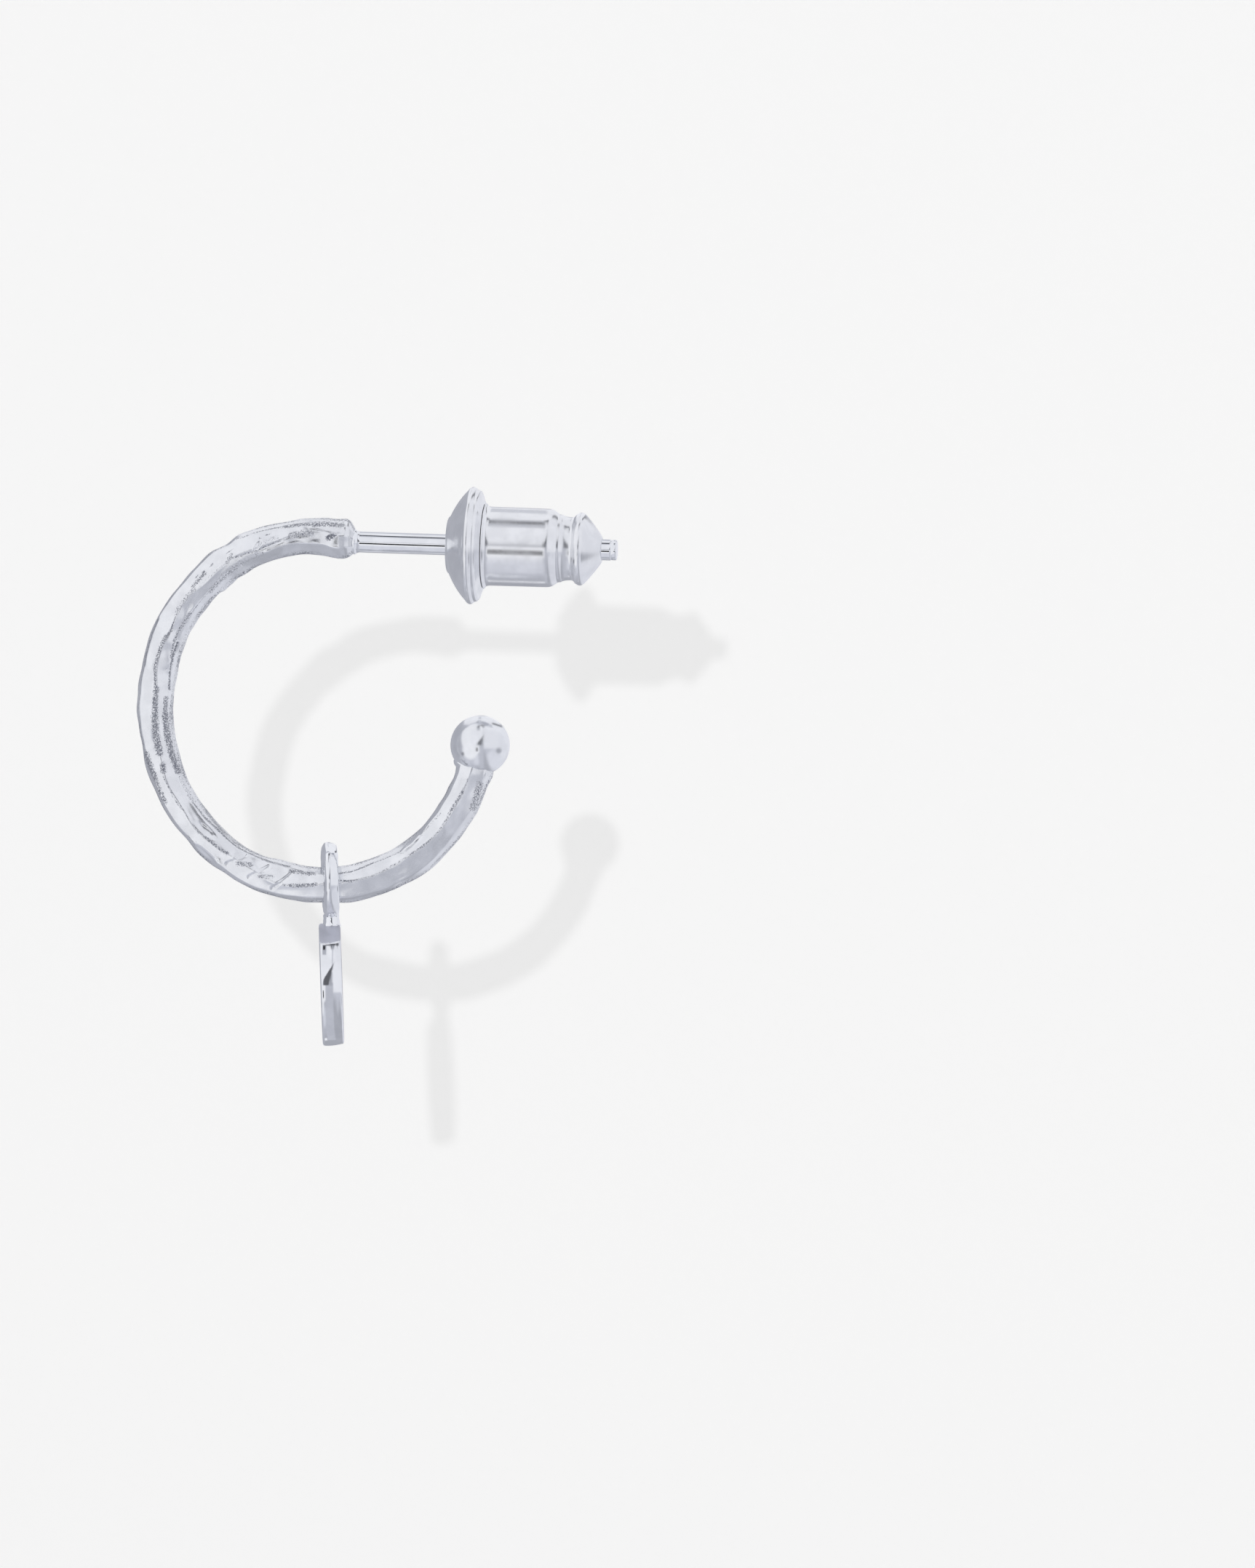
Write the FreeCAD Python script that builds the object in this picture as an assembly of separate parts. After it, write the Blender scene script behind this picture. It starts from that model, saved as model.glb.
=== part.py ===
import FreeCAD, Part
import math
import os
from collections import namedtuple

# One hoop charm earring in silver, in millimetres. The straight ear post lies along +X with
# its tip outwards, +Z is up, and the hoop lies in the XZ plane. The origin is on the post's
# axis, in the middle of the stretch that sits in the ear.

# Hoop: a hand-hammered wire bent to an open circle, thicker front to back than in its plane
HOOP_RADIUS = 7.62
HOOP_CENTRE_X = -3.01
HOOP_CENTRE_Z = -7.29
WIRE_DEPTH = 1.70
DEPTH_WOBBLE = 0.035
DEPTH_WAVES = 7.0
SECTION_ROUNDNESS = 2.3
EDGE_FLAT = 0.17
RIDGE_LIMIT = 0.88

# Ball soldered to the end of the wire
BALL_RADIUS = 1.29
BALL_X = 3.72
BALL_Z = -8.64

# Ear post, turned down at its tip
POST_RADIUS = 0.455
POST_TIP_X = 9.39
POST_NOTCH_X = 9.12
POST_TIP_ROUND = 0.12
POST_ROOT_X = -2.35

# Charm: a coin disc hanging edge-on from a bail ring soldered to its rim
BAIL_X = -2.63
BAIL_Z = -14.73
BAIL_INNER_RADIUS = 1.09
BAIL_WIRE_RADIUS = 0.29
BAIL_YAW = 9.2
DISC_RADIUS = 2.68
DISC_THICKNESS = 0.93
DISC_EDGE_ROUND = 0.16
DISC_DROP = 4.52
DISC_SIDE_SHIFT = -0.09
DISC_YAW = 7.1
SOLDER_TOP_RADIUS = 0.25
SOLDER_FOOT_RADIUS = 0.40
SOLDER_TOP_DROP = 1.52
SOLDER_FOOT_DROP = 2.05
CHARM_LEAN = 4.0

# Clutch: a barrel with a wide comfort disc swaged on its front
BORE_RADIUS = 0.49
SPIGOT_RADIUS = 0.90
SPIGOT_LENGTH = 0.50
PIECE_GAP = 0.02
NOSE_X = 2.01
BARREL_X = 3.62
CLUTCH_END_X = 8.73

# A section of the hoop: degrees round its centre from +X, how far the wire's middle stands
# outside the true circle, its width in the hoop's plane, and how far from its middle the
# three hammered ridges run on the front, counted outwards
HoopRow = namedtuple("HoopRow", "angle shift width outer_ridge mid_ridge inner_ridge")
HOOP_ROWS = [
    HoopRow(92, -0.18, 1.68, 0.54, 0.20, -0.34),
    HoopRow(98, -0.09, 1.58, 0.55, 0.19, -0.31),
    HoopRow(106, -0.03, 1.53, 0.57, 0.04, -0.30),
    HoopRow(114, 0.05, 1.57, 0.62, -0.08, -0.44),
    HoopRow(119, 0.08, 1.61, 0.69, -0.02, -0.44),
    HoopRow(123, 0.02, 1.55, 0.68, 0.10, -0.35),
    HoopRow(129, 0.09, 1.60, 0.70, -0.07, -0.39),
    HoopRow(136, 0.05, 1.52, 0.66, -0.10, -0.49),
    HoopRow(144, 0.02, 1.52, 0.66, 0.12, -0.44),
    HoopRow(152, 0.04, 1.55, 0.68, -0.05, -0.41),
    HoopRow(160, 0.00, 1.57, 0.66, 0.02, -0.45),
    HoopRow(168, -0.08, 1.59, 0.62, 0.06, -0.59),
    HoopRow(176, -0.07, 1.59, 0.65, -0.17, -0.64),
    HoopRow(184, -0.07, 1.55, 0.65, -0.14, -0.51),
    HoopRow(192, -0.11, 1.47, 0.62, -0.01, -0.50),
    HoopRow(200, -0.05, 1.58, 0.52, -0.04, -0.60),
    HoopRow(208, -0.02, 1.50, 0.55, 0.03, -0.60),
    HoopRow(216, 0.01, 1.52, 0.59, -0.04, -0.56),
    HoopRow(224, 0.02, 1.50, 0.60, 0.07, -0.50),
    HoopRow(232, 0.08, 1.54, 0.45, -0.05, -0.63),
    HoopRow(240, 0.09, 1.45, 0.53, -0.09, -0.57),
    HoopRow(248, 0.10, 1.54, 0.62, -0.02, -0.64),
    HoopRow(256, 0.05, 1.63, 0.66, 0.22, -0.62),
    HoopRow(264, 0.06, 1.60, 0.57, 0.11, -0.57),
    HoopRow(272, 0.04, 1.53, 0.55, -0.10, -0.50),
    HoopRow(280, 0.04, 1.64, 0.60, -0.15, -0.46),
    HoopRow(288, -0.03, 1.65, 0.66, -0.05, -0.53),
    HoopRow(296, -0.07, 1.62, 0.64, -0.09, -0.60),
    HoopRow(304, -0.13, 1.65, 0.66, -0.15, -0.46),
    HoopRow(312, -0.25, 1.58, 0.64, -0.07, -0.61),
    HoopRow(320, -0.39, 1.60, 0.62, -0.03, -0.59),
    HoopRow(328, -0.49, 1.60, 0.60, -0.11, -0.61),
    HoopRow(336, -0.61, 1.54, 0.56, -0.08, -0.60),
    HoopRow(340, -0.66, 1.66, 0.56, -0.06, -0.60),
    HoopRow(344, -0.72, 1.40, 0.50, -0.06, -0.50),
]

# The solder block between the post and the wire: place along the post, height of its middle,
# height and depth, and where its ridges run as a share of half its height
ShoulderRow = namedtuple("ShoulderRow", "x middle_z height depth")
SHOULDER_ROWS = [
    ShoulderRow(-2.00, 0.00, 0.88, 0.86),
    ShoulderRow(-2.14, 0.07, 1.22, 1.20),
    ShoulderRow(-2.32, 0.12, 1.60, 1.54),
    ShoulderRow(-2.60, 0.11, 1.74, 1.70),
    ShoulderRow(-2.90, 0.12, 1.71, 1.72),
]
SHOULDER_RIDGES = (0.62, 0.12, -0.50)

# A corner of a turned outline: place along the post, radius, and how far the line that leads
# to it bulges outwards
TurnedRow = namedtuple("TurnedRow", "x radius bulge")
COMFORT_DISC_ROWS = [
    TurnedRow(NOSE_X, 1.12, 0.0),
    TurnedRow(NOSE_X + 0.10, 1.26, 0.03),
    TurnedRow(2.74, 2.27, 0.05),
    TurnedRow(2.97, 2.50, 0.06),
    TurnedRow(3.20, 2.49, 0.05),
    TurnedRow(3.34, 2.35, 0.03),
    TurnedRow(3.57, 1.93, 0.0),
    TurnedRow(BARREL_X - PIECE_GAP, 1.88, 0.01),
]
BARREL_ROWS = [
    TurnedRow(BARREL_X, 1.60, 0.0),
    TurnedRow(3.76, 1.70, 0.03),
    TurnedRow(6.34, 1.70, 0.0),
    TurnedRow(6.72, 1.57, 0.05),
    TurnedRow(6.84, 1.46, 0.0),
    TurnedRow(7.08, 1.44, 0.03),
    TurnedRow(7.34, 1.36, -0.02),
    TurnedRow(7.58, 1.45, -0.03),
    TurnedRow(7.94, 1.53, 0.08),
    TurnedRow(CLUTCH_END_X - 0.03, 0.61, 0.02),
    TurnedRow(CLUTCH_END_X, 0.56, 0.01),
]


def ridge_depth(offset, half_width, half_depth):
    """Front-to-back distance of a point on the rounded section, at an offset from its middle."""
    share = min(abs(offset) / half_width, RIDGE_LIMIT)
    return half_depth * (1.0 - share ** SECTION_ROUNDNESS) ** (1.0 / SECTION_ROUNDNESS)


def section_wire(middle, outward, width, depth, front_ridges, back_ridges):
    """Ten-sided closed outline of the hammered wire, across the wire at its middle point."""
    half_width = width / 2
    half_depth = depth / 2
    corners = [(half_width, -EDGE_FLAT)]
    corners += [(r, -ridge_depth(r, half_width, half_depth)) for r in front_ridges]
    corners += [(-half_width, -EDGE_FLAT), (-half_width, EDGE_FLAT)]
    corners += [(r, ridge_depth(r, half_width, half_depth)) for r in reversed(back_ridges)]
    corners += [(half_width, EDGE_FLAT)]
    front_to_back = FreeCAD.Vector(0, 1, 0)
    points = [middle + outward * along + front_to_back * across for along, across in corners]
    return Part.makePolygon(points + points[:1])


def hoop_sections():
    """Outlines from the post's end of the solder block to the wire's end inside the ball."""
    sections = []
    for row in SHOULDER_ROWS:
        ridges = [share * row.height / 2 for share in SHOULDER_RIDGES]
        middle = FreeCAD.Vector(row.x, 0, row.middle_z)
        up = FreeCAD.Vector(0, 0, 1)
        sections.append(section_wire(middle, up, row.height, row.depth, ridges, ridges))
    for row, back in zip(HOOP_ROWS, reversed(HOOP_ROWS)):
        turn = math.radians(row.angle)
        outward = FreeCAD.Vector(math.cos(turn), 0, math.sin(turn))
        centre = FreeCAD.Vector(HOOP_CENTRE_X, 0, HOOP_CENTRE_Z)
        middle = centre + outward * (HOOP_RADIUS + row.shift)
        depth = WIRE_DEPTH + 2 * DEPTH_WOBBLE * math.sin(DEPTH_WAVES * turn)
        limit = RIDGE_LIMIT * row.width / 2
        front = [row.outer_ridge, row.mid_ridge, row.inner_ridge]
        behind = [back.outer_ridge, -back.mid_ridge, back.inner_ridge]
        front = [max(-limit, min(limit, ridge)) for ridge in front]
        behind = [max(-limit, min(limit, ridge)) for ridge in behind]
        sections.append(section_wire(middle, outward, row.width, depth, front, behind))
    return sections


def turned(rows, inner_rows):
    """Solid of revolution about the post's axis, from an outline and the hole through it."""
    edges = []
    last = None
    for row in rows + inner_rows:
        here = FreeCAD.Vector(row.x, 0, row.radius)
        if last is not None and row.bulge:
            run = here - last
            normal = FreeCAD.Vector(-run.z, 0, run.x).normalize()
            edges.append(Part.Arc(last, (last + here) / 2 + normal * row.bulge, here).toShape())
        elif last is not None:
            edges.append(Part.makeLine(last, here))
        last = here
    edges.append(Part.makeLine(last, FreeCAD.Vector(rows[0].x, 0, rows[0].radius)))
    face = Part.Face(Part.Wire(edges))
    return face.revolve(FreeCAD.Vector(0, 0, 0), FreeCAD.Vector(1, 0, 0), 360)


def make_post():
    """Ear post with a fine turned notch and a rounded tip."""
    notch = 0.05
    rows = [
        TurnedRow(POST_ROOT_X, POST_RADIUS, 0.0),
        TurnedRow(POST_NOTCH_X, POST_RADIUS, 0.0),
        TurnedRow(POST_NOTCH_X + notch, POST_RADIUS - notch, 0.0),
        TurnedRow(POST_TIP_X - POST_TIP_ROUND, POST_RADIUS - notch, 0.0),
        TurnedRow(POST_TIP_X, POST_RADIUS - notch - POST_TIP_ROUND, 0.03),
    ]
    axis_rows = [TurnedRow(POST_TIP_X, 0.0, 0.0), TurnedRow(POST_ROOT_X, 0.0, 0.0)]
    return turned(rows, axis_rows)


def make_hoop():
    """Hammered wire, ball, solder block and post, all soldered to one piece."""
    wire = Part.makeLoft(hoop_sections(), True, True)
    ball = Part.makeSphere(BALL_RADIUS, FreeCAD.Vector(BALL_X, 0, BALL_Z))
    return wire.fuse([ball, make_post()])


def make_charm():
    """Coin disc and its bail ring, a little twisted on the solder, leaning as they hang."""
    across = FreeCAD.Vector(1, 0, 0)
    disc_back = FreeCAD.Vector(DISC_SIDE_SHIFT - DISC_THICKNESS / 2, 0, -DISC_DROP)
    disc = Part.makeCylinder(DISC_RADIUS, DISC_THICKNESS, disc_back, across)
    rims = [edge for edge in disc.Edges if isinstance(edge.Curve, Part.Circle)]
    disc = disc.makeFillet(DISC_EDGE_ROUND, rims)
    disc.rotate(FreeCAD.Vector(0, 0, 0), FreeCAD.Vector(0, 0, 1), DISC_YAW)
    ring_radius = BAIL_INNER_RADIUS + BAIL_WIRE_RADIUS
    ring = Part.makeTorus(ring_radius, BAIL_WIRE_RADIUS, FreeCAD.Vector(0, 0, 0), across)
    ring.rotate(FreeCAD.Vector(0, 0, 0), FreeCAD.Vector(0, 0, 1), BAIL_YAW)
    foot = FreeCAD.Vector(0, 0, -SOLDER_FOOT_DROP)
    up = FreeCAD.Vector(0, 0, 1)
    height = SOLDER_FOOT_DROP - SOLDER_TOP_DROP
    solder = Part.makeCone(SOLDER_FOOT_RADIUS, SOLDER_TOP_RADIUS, height, foot, up)
    charm = ring.fuse([solder, disc]).removeSplitter()
    charm.rotate(FreeCAD.Vector(0, 0, 0), FreeCAD.Vector(0, 1, 0), -CHARM_LEAN)
    charm.translate(FreeCAD.Vector(BAIL_X, 0, BAIL_Z))
    return charm


def make_comfort_disc():
    """Domed disc with a rolled rim, bored for the post and recessed for the barrel's spigot."""
    back = BARREL_X - PIECE_GAP
    recess = SPIGOT_RADIUS + PIECE_GAP
    recess_floor = BARREL_X - SPIGOT_LENGTH - PIECE_GAP
    hole = [
        TurnedRow(back, recess, 0.0),
        TurnedRow(recess_floor, recess, 0.0),
        TurnedRow(recess_floor, BORE_RADIUS, 0.0),
        TurnedRow(NOSE_X, BORE_RADIUS, 0.0),
    ]
    return turned(COMFORT_DISC_ROWS, hole)


def make_barrel():
    """Barrel with its spigot, end groove, ring and cone, bored for the post."""
    spigot_front = BARREL_X - SPIGOT_LENGTH
    hole = [
        TurnedRow(CLUTCH_END_X, BORE_RADIUS, 0.0),
        TurnedRow(spigot_front, BORE_RADIUS, 0.0),
        TurnedRow(spigot_front, SPIGOT_RADIUS, 0.0),
        TurnedRow(BARREL_X, SPIGOT_RADIUS, 0.0),
    ]
    return turned(BARREL_ROWS, hole)


def single_solid(shape, name):
    """The shape's one solid, after a check that it is one and is sound."""
    solids = shape.Solids
    if len(solids) != 1 or not solids[0].isValid():
        raise ValueError(f"{name} is not one sound solid: {len(solids)} found")
    return solids[0]


os.makedirs("parts", exist_ok=True)
nodes = {
    "hoop": make_hoop(),
    "charm": make_charm(),
    "clutch_disc": make_comfort_disc(),
    "clutch_barrel": make_barrel(),
}
for name, shape in nodes.items():
    solid = single_solid(shape, name)
    solid.exportStep(f"parts/{name}.step")
    print(f"{name}: {solid.Volume:.2f} mm3, {len(solid.Faces)} faces")
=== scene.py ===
"""Hoop charm earring in silver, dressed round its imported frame.

The wire of the hoop is hammered by hand, so its ridges, dents and grain are laid out in short
tables by their turn round the hoop. Everything is modelled in millimetres, with the ear post
along +X and +Z up, and brought to metres when a piece leaves the bench.
"""

import logging
import math
from collections.abc import Sequence
from dataclasses import dataclass, field, replace
from enum import Enum

import bmesh
import bpy
import numpy as np
from mathutils import Matrix, Vector


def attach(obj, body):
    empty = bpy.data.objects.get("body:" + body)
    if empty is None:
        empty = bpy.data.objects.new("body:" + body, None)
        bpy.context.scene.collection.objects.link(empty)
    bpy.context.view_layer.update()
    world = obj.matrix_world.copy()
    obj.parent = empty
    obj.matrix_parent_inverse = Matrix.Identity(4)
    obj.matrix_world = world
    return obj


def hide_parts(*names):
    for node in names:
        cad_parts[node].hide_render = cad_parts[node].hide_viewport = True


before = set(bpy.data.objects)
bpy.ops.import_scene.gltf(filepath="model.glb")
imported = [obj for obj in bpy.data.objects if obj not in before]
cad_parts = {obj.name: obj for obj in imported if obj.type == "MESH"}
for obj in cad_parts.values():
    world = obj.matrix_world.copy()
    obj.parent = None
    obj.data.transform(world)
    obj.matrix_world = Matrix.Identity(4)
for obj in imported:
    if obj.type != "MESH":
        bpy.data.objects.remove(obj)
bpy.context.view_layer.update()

log = logging.getLogger("hoop_charm_earring")
Socket = bpy.types.NodeSocket
Material = bpy.types.Material
MM = 0.001


class Body(Enum):
    """The frame's bodies."""

    HOOP = "hoop_body"
    CHARM = "charm_body"
    CLUTCH = "clutch_body"


class Slot(Enum):
    """The record's material slots."""

    HAMMERED = "hammered_silver"
    POLISHED = "polished_silver"
    CLUTCH = "clutch_metal"


# Outlines


@dataclass(frozen=True)
class Corner:
    """A corner of a turned outline, in millimetres.

    Args:
        x: Place along the turning axis.
        radius: Distance from the turning axis.
        soft: How far from the corner its rounding reaches.
        bulge: How far the run that leads to the corner stands out from a straight line.
    """

    x: float
    radius: float
    soft: float = 0.03
    bulge: float = 0.0


class Outline:
    """A turned outline, from its corners to rings that are close together only where it curves."""

    STEP = 0.012
    TOLERANCE = 0.0006
    GUARD = 0.03
    LONG_RUN = 0.12

    def __init__(self, corners: Sequence[Corner]) -> None:
        """Keeps the corners, in the order in which they are turned."""
        self.corners = corners

    def rings(self) -> np.ndarray:
        """The place and radius of each ring.

        Returns:
            An array with a row for each ring, from the first corner to the last.
        """
        return self._guarded(self._thinned(self._softened(self._traced())))

    def _traced(self) -> np.ndarray:
        """Points close together along the runs, with their bulges.

        Returns:
            Place and radius of each point, in order.
        """
        places = np.array([(corner.x, corner.radius) for corner in self.corners])
        points = [places[:1]]
        for start, end, corner in zip(places, places[1:], self.corners[1:]):
            run = end - start
            length = float(np.hypot(*run))
            share = np.linspace(0, 1, max(3, math.ceil(length / self.STEP)) + 1)[1:, None]
            outward = np.array([-run[1], run[0]]) / length
            points.append(start + share * run + outward * corner.bulge * 4 * share * (1 - share))
        return np.vstack(points)

    def _softened(self, points: np.ndarray) -> np.ndarray:
        """Rounds each corner by as much as it says.

        Args:
            points: Place and radius of each point, in order.

        Returns:
            As many points, moved.
        """
        steps = np.hypot(*np.diff(points, axis=0).T)
        along = np.concatenate([[0.0], np.cumsum(steps)])
        reach = np.full(len(points), 1e-6)
        for corner in self.corners:
            away = np.hypot(points[:, 0] - corner.x, points[:, 1] - corner.radius)
            at = along[int(np.argmin(away))]
            near = np.clip(1 - np.abs(along - at) / max(2 * corner.soft, 1e-6), 0, 1)
            reach = np.maximum(reach, corner.soft * 0.6 * near)
        reach[0] = reach[-1] = 1e-6
        weight = np.exp(-0.5 * ((along[:, None] - along[None, :]) / reach[:, None]) ** 2)
        weight /= weight.sum(axis=1, keepdims=True)
        return weight @ points

    def _thinned(self, points: np.ndarray) -> np.ndarray:
        """Leaves out what lies on a straight run.

        Args:
            points: Place and radius of each point, in order.

        Returns:
            Only the points that the shape needs.
        """
        keep = {0, len(points) - 1}
        spans = [(0, len(points) - 1)]
        while spans:
            low, high = spans.pop()
            if high - low < 2:
                continue
            run = points[high] - points[low]
            length = float(np.hypot(*run))
            between = points[low + 1 : high] - points[low]
            if length < 1e-9:
                off = np.hypot(*between.T)
            else:
                off = np.abs(between[:, 0] * run[1] - between[:, 1] * run[0]) / length
            if off.max() > self.TOLERANCE:
                middle = low + 1 + int(off.argmax())
                keep.add(middle)
                spans += [(low, middle), (middle, high)]
        return points[sorted(keep)]

    def _guarded(self, points: np.ndarray) -> np.ndarray:
        """Keeps each long run straight when it is shaded smooth.

        Args:
            points: Place and radius of each point, in order.

        Returns:
            The points with two more near the ends of each long run.
        """
        rows = [points[0]]
        for start, end in zip(points, points[1:]):
            length = float(np.hypot(*(end - start)))
            if length > self.LONG_RUN:
                share = self.GUARD / length
                rows += [start + (end - start) * share, end - (end - start) * share]
            rows.append(end)
        return np.array(rows)


def eased(at: np.ndarray, knots: np.ndarray, values: np.ndarray) -> np.ndarray:
    """Smooth curve through the values at the knots.

    Args:
        at: Where the curve is wanted.
        knots: Rising places of the values.
        values: The values.

    Returns:
        The curve's value at each place, held level past both ends.
    """
    slopes = np.gradient(values, knots)
    at = np.clip(at, knots[0], knots[-1])
    index = np.clip(np.searchsorted(knots, at) - 1, 0, len(knots) - 2)
    width = knots[index + 1] - knots[index]
    t = (at - knots[index]) / width
    rise = (1 + 2 * t) * (1 - t) ** 2 * values[index] + t * t * (3 - 2 * t) * values[index + 1]
    lean = t * (1 - t) ** 2 * slopes[index] - t * t * (1 - t) * slopes[index + 1]
    return rise + width * lean


def smooth_step(low: float, high: float, value: np.ndarray) -> np.ndarray:
    """Eases from 0 at low to 1 at high."""
    t = np.clip((value - low) / (high - low), 0, 1)
    return t * t * (3 - 2 * t)


# The bench


class Bench:
    """One mesh being shaped with Blender's own tools, a unit to the millimetre."""

    MERGE = 0.0004

    def __init__(self, name: str, sides: int, radius: float, x: float, z: float = 0.0) -> None:
        """Lays out the first ring of a piece, across the X axis, and starts to edit it.

        Args:
            name: The piece's name.
            sides: Vertices in the ring.
            radius: The ring's radius.
            x: Place of its middle along X.
            z: Height of its middle.
        """
        bpy.ops.object.select_all(action="DESELECT")
        bpy.ops.mesh.primitive_circle_add(
            vertices=sides, radius=radius, location=(x, 0, z), rotation=(0, math.pi / 2, 0)
        )
        self.obj = bpy.context.active_object
        self.obj.name = name
        self.obj.data.name = name
        bpy.ops.object.transform_apply(location=True, rotation=True, scale=True)
        bpy.ops.object.mode_set(mode="EDIT")

    def pull(self, along: float) -> None:
        """Extrudes the selected ring along X."""
        bpy.ops.mesh.extrude_edges_move(TRANSFORM_OT_translate={"value": (along, 0, 0)})

    def turn(self, rings: np.ndarray) -> None:
        """Pulls the ring through the rest of a turned outline.

        Args:
            rings: Place and radius of each ring, from the one that is already there.
        """
        for (x, radius), (next_x, next_radius) in zip(rings, rings[1:]):
            self.pull(next_x - x)
            grown = next_radius / radius
            bpy.ops.transform.resize(value=(1, grown, grown), center_override=(next_x, 0, 0))

    def fill(self) -> None:
        """Closes the selected ring with a face."""
        bpy.ops.mesh.edge_face_add()

    def close(self) -> None:
        """Merges doubled vertices and turns every face outwards."""
        bpy.ops.mesh.select_all(action="SELECT")
        bpy.ops.mesh.remove_doubles(threshold=self.MERGE)
        bpy.ops.mesh.normals_make_consistent(inside=False)
        bpy.ops.object.mode_set(mode="OBJECT")

    def points(self) -> np.ndarray:
        """The mesh's vertices as an array with three columns."""
        flat = np.empty(len(self.obj.data.vertices) * 3)
        self.obj.data.vertices.foreach_get("co", flat)
        return flat.reshape(-1, 3)

    def place_points(self, points: np.ndarray) -> None:
        """Moves every vertex to its row of the array."""
        self.obj.data.vertices.foreach_set("co", points.astype(np.float32).ravel())
        self.obj.data.update()

    def paint(self, name: str, values: np.ndarray) -> None:
        """Keeps a value for each vertex, which the finish reads."""
        attribute = self.obj.data.attributes.new(name, "FLOAT", "POINT")
        attribute.data.foreach_set("value", values.astype(np.float32))

    def move(self, matrix: Matrix) -> None:
        """Moves the whole mesh by a matrix, in millimetres."""
        self.obj.data.transform(matrix)

    def deliver(self, body: Body, slot: Slot, node: str, *finishes: Material) -> None:
        """Brings the piece to metres, hangs it on the frame and dresses it.

        Args:
            body: The body that it moves with.
            slot: Not used; the material slot that it would take its finish from.
            node: The frame's node that it stands for.
            finishes: Its materials, in the order of its faces' indices.
        """
        bpy.ops.object.select_all(action="DESELECT")
        self.obj.select_set(True)
        bpy.context.view_layer.objects.active = self.obj
        bpy.ops.object.shade_smooth()
        bpy.ops.transform.resize(value=(MM, MM, MM), center_override=(0, 0, 0))
        bpy.ops.object.transform_apply(location=True, rotation=True, scale=True)
        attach(self.obj, body.value)
        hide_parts(node)
        for finish in finishes:
            self.obj.data.materials.append(finish)
        faces = len(self.obj.data.polygons)
        log.info("%s: %d faces, rides on %s", self.obj.name, faces, body.value)


def turned(name: str, sides: int, corners: Sequence[Corner], bored: bool = False) -> Bench:
    """Turns a piece about the X axis.

    Args:
        name: The piece's name.
        sides: Its sides.
        corners: Its outline, from end to end, or right round the section of a bored piece.
        bored: True where the piece has a hole right through it.

    Returns:
        The bench with the closed piece on it.
    """
    closing = corners[:1] if bored else []
    rings = Outline([*corners, *closing]).rings()
    bench = Bench(name, sides, rings[0, 1], rings[0, 0])
    if not bored:
        bench.fill()
    bench.turn(rings)
    if not bored:
        bench.fill()
    bench.close()
    return bench


# Surface effects, each made once and used by several finishes


class Nodes:
    """Short ways to add and join shader nodes in one tree."""

    def __init__(self, tree: bpy.types.NodeTree) -> None:
        """Works on one node tree."""
        self.tree = tree

    def add(
        self, kind: str, inputs: dict[str | int, object] | None = None, **settings: object
    ) -> bpy.types.Node:
        """Adds a node.

        Args:
            kind: Its type.
            inputs: A socket to link or a value to set, for each input by name or index.
            settings: Its options.

        Returns:
            The new node.
        """
        node = self.tree.nodes.new(kind)
        for name, value in settings.items():
            setattr(node, name, value)
        for key, value in (inputs or {}).items():
            self.join(value, node.inputs[key])
        return node

    def join(self, source: object, target: Socket) -> None:
        """Links a socket to an input, or sets a plain value on it.

        Args:
            source: The socket or the value.
            target: The input.
        """
        if isinstance(source, Socket):
            self.tree.links.new(source, target)
        else:
            target.default_value = source

    def math(self, kind: str, *values: object) -> Socket:
        """Result of a Math node on sockets or numbers."""
        return self.add("ShaderNodeMath", dict(enumerate(values)), operation=kind).outputs[0]

    def vector(self, kind: str, *values: object) -> bpy.types.Node:
        """A Vector Math node on sockets or vectors."""
        return self.add("ShaderNodeVectorMath", dict(enumerate(values)), operation=kind)

    def noise(self, vector: object, scale: object, detail: float, rough: float = 0.5) -> Socket:
        """Value of a Noise Texture node."""
        inputs = {"Vector": vector, "Scale": scale, "Detail": detail, "Roughness": rough}
        return self.add("ShaderNodeTexNoise", inputs).outputs[0]

    def mix(self, share: object, first: object, second: object) -> Socket:
        """Mix of two colours."""
        inputs = {"Factor": share, 6: first, 7: second}
        return self.add("ShaderNodeMix", inputs, data_type="RGBA").outputs[2]

    def ease(self, value: object, low: float, high: float) -> Socket:
        """Eases a value from 0 to 1, either way round.

        Args:
            value: A socket.
            low: Where it is 0.
            high: Where it is 1.

        Returns:
            The eased value.
        """
        turned_round = low > high
        inputs = {
            "Value": value,
            "From Min": min(low, high),
            "From Max": max(low, high),
            "To Min": float(turned_round),
            "To Max": float(not turned_round),
        }
        node = self.add("ShaderNodeMapRange", inputs, interpolation_type="SMOOTHSTEP")
        return node.outputs["Result"]


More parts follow.
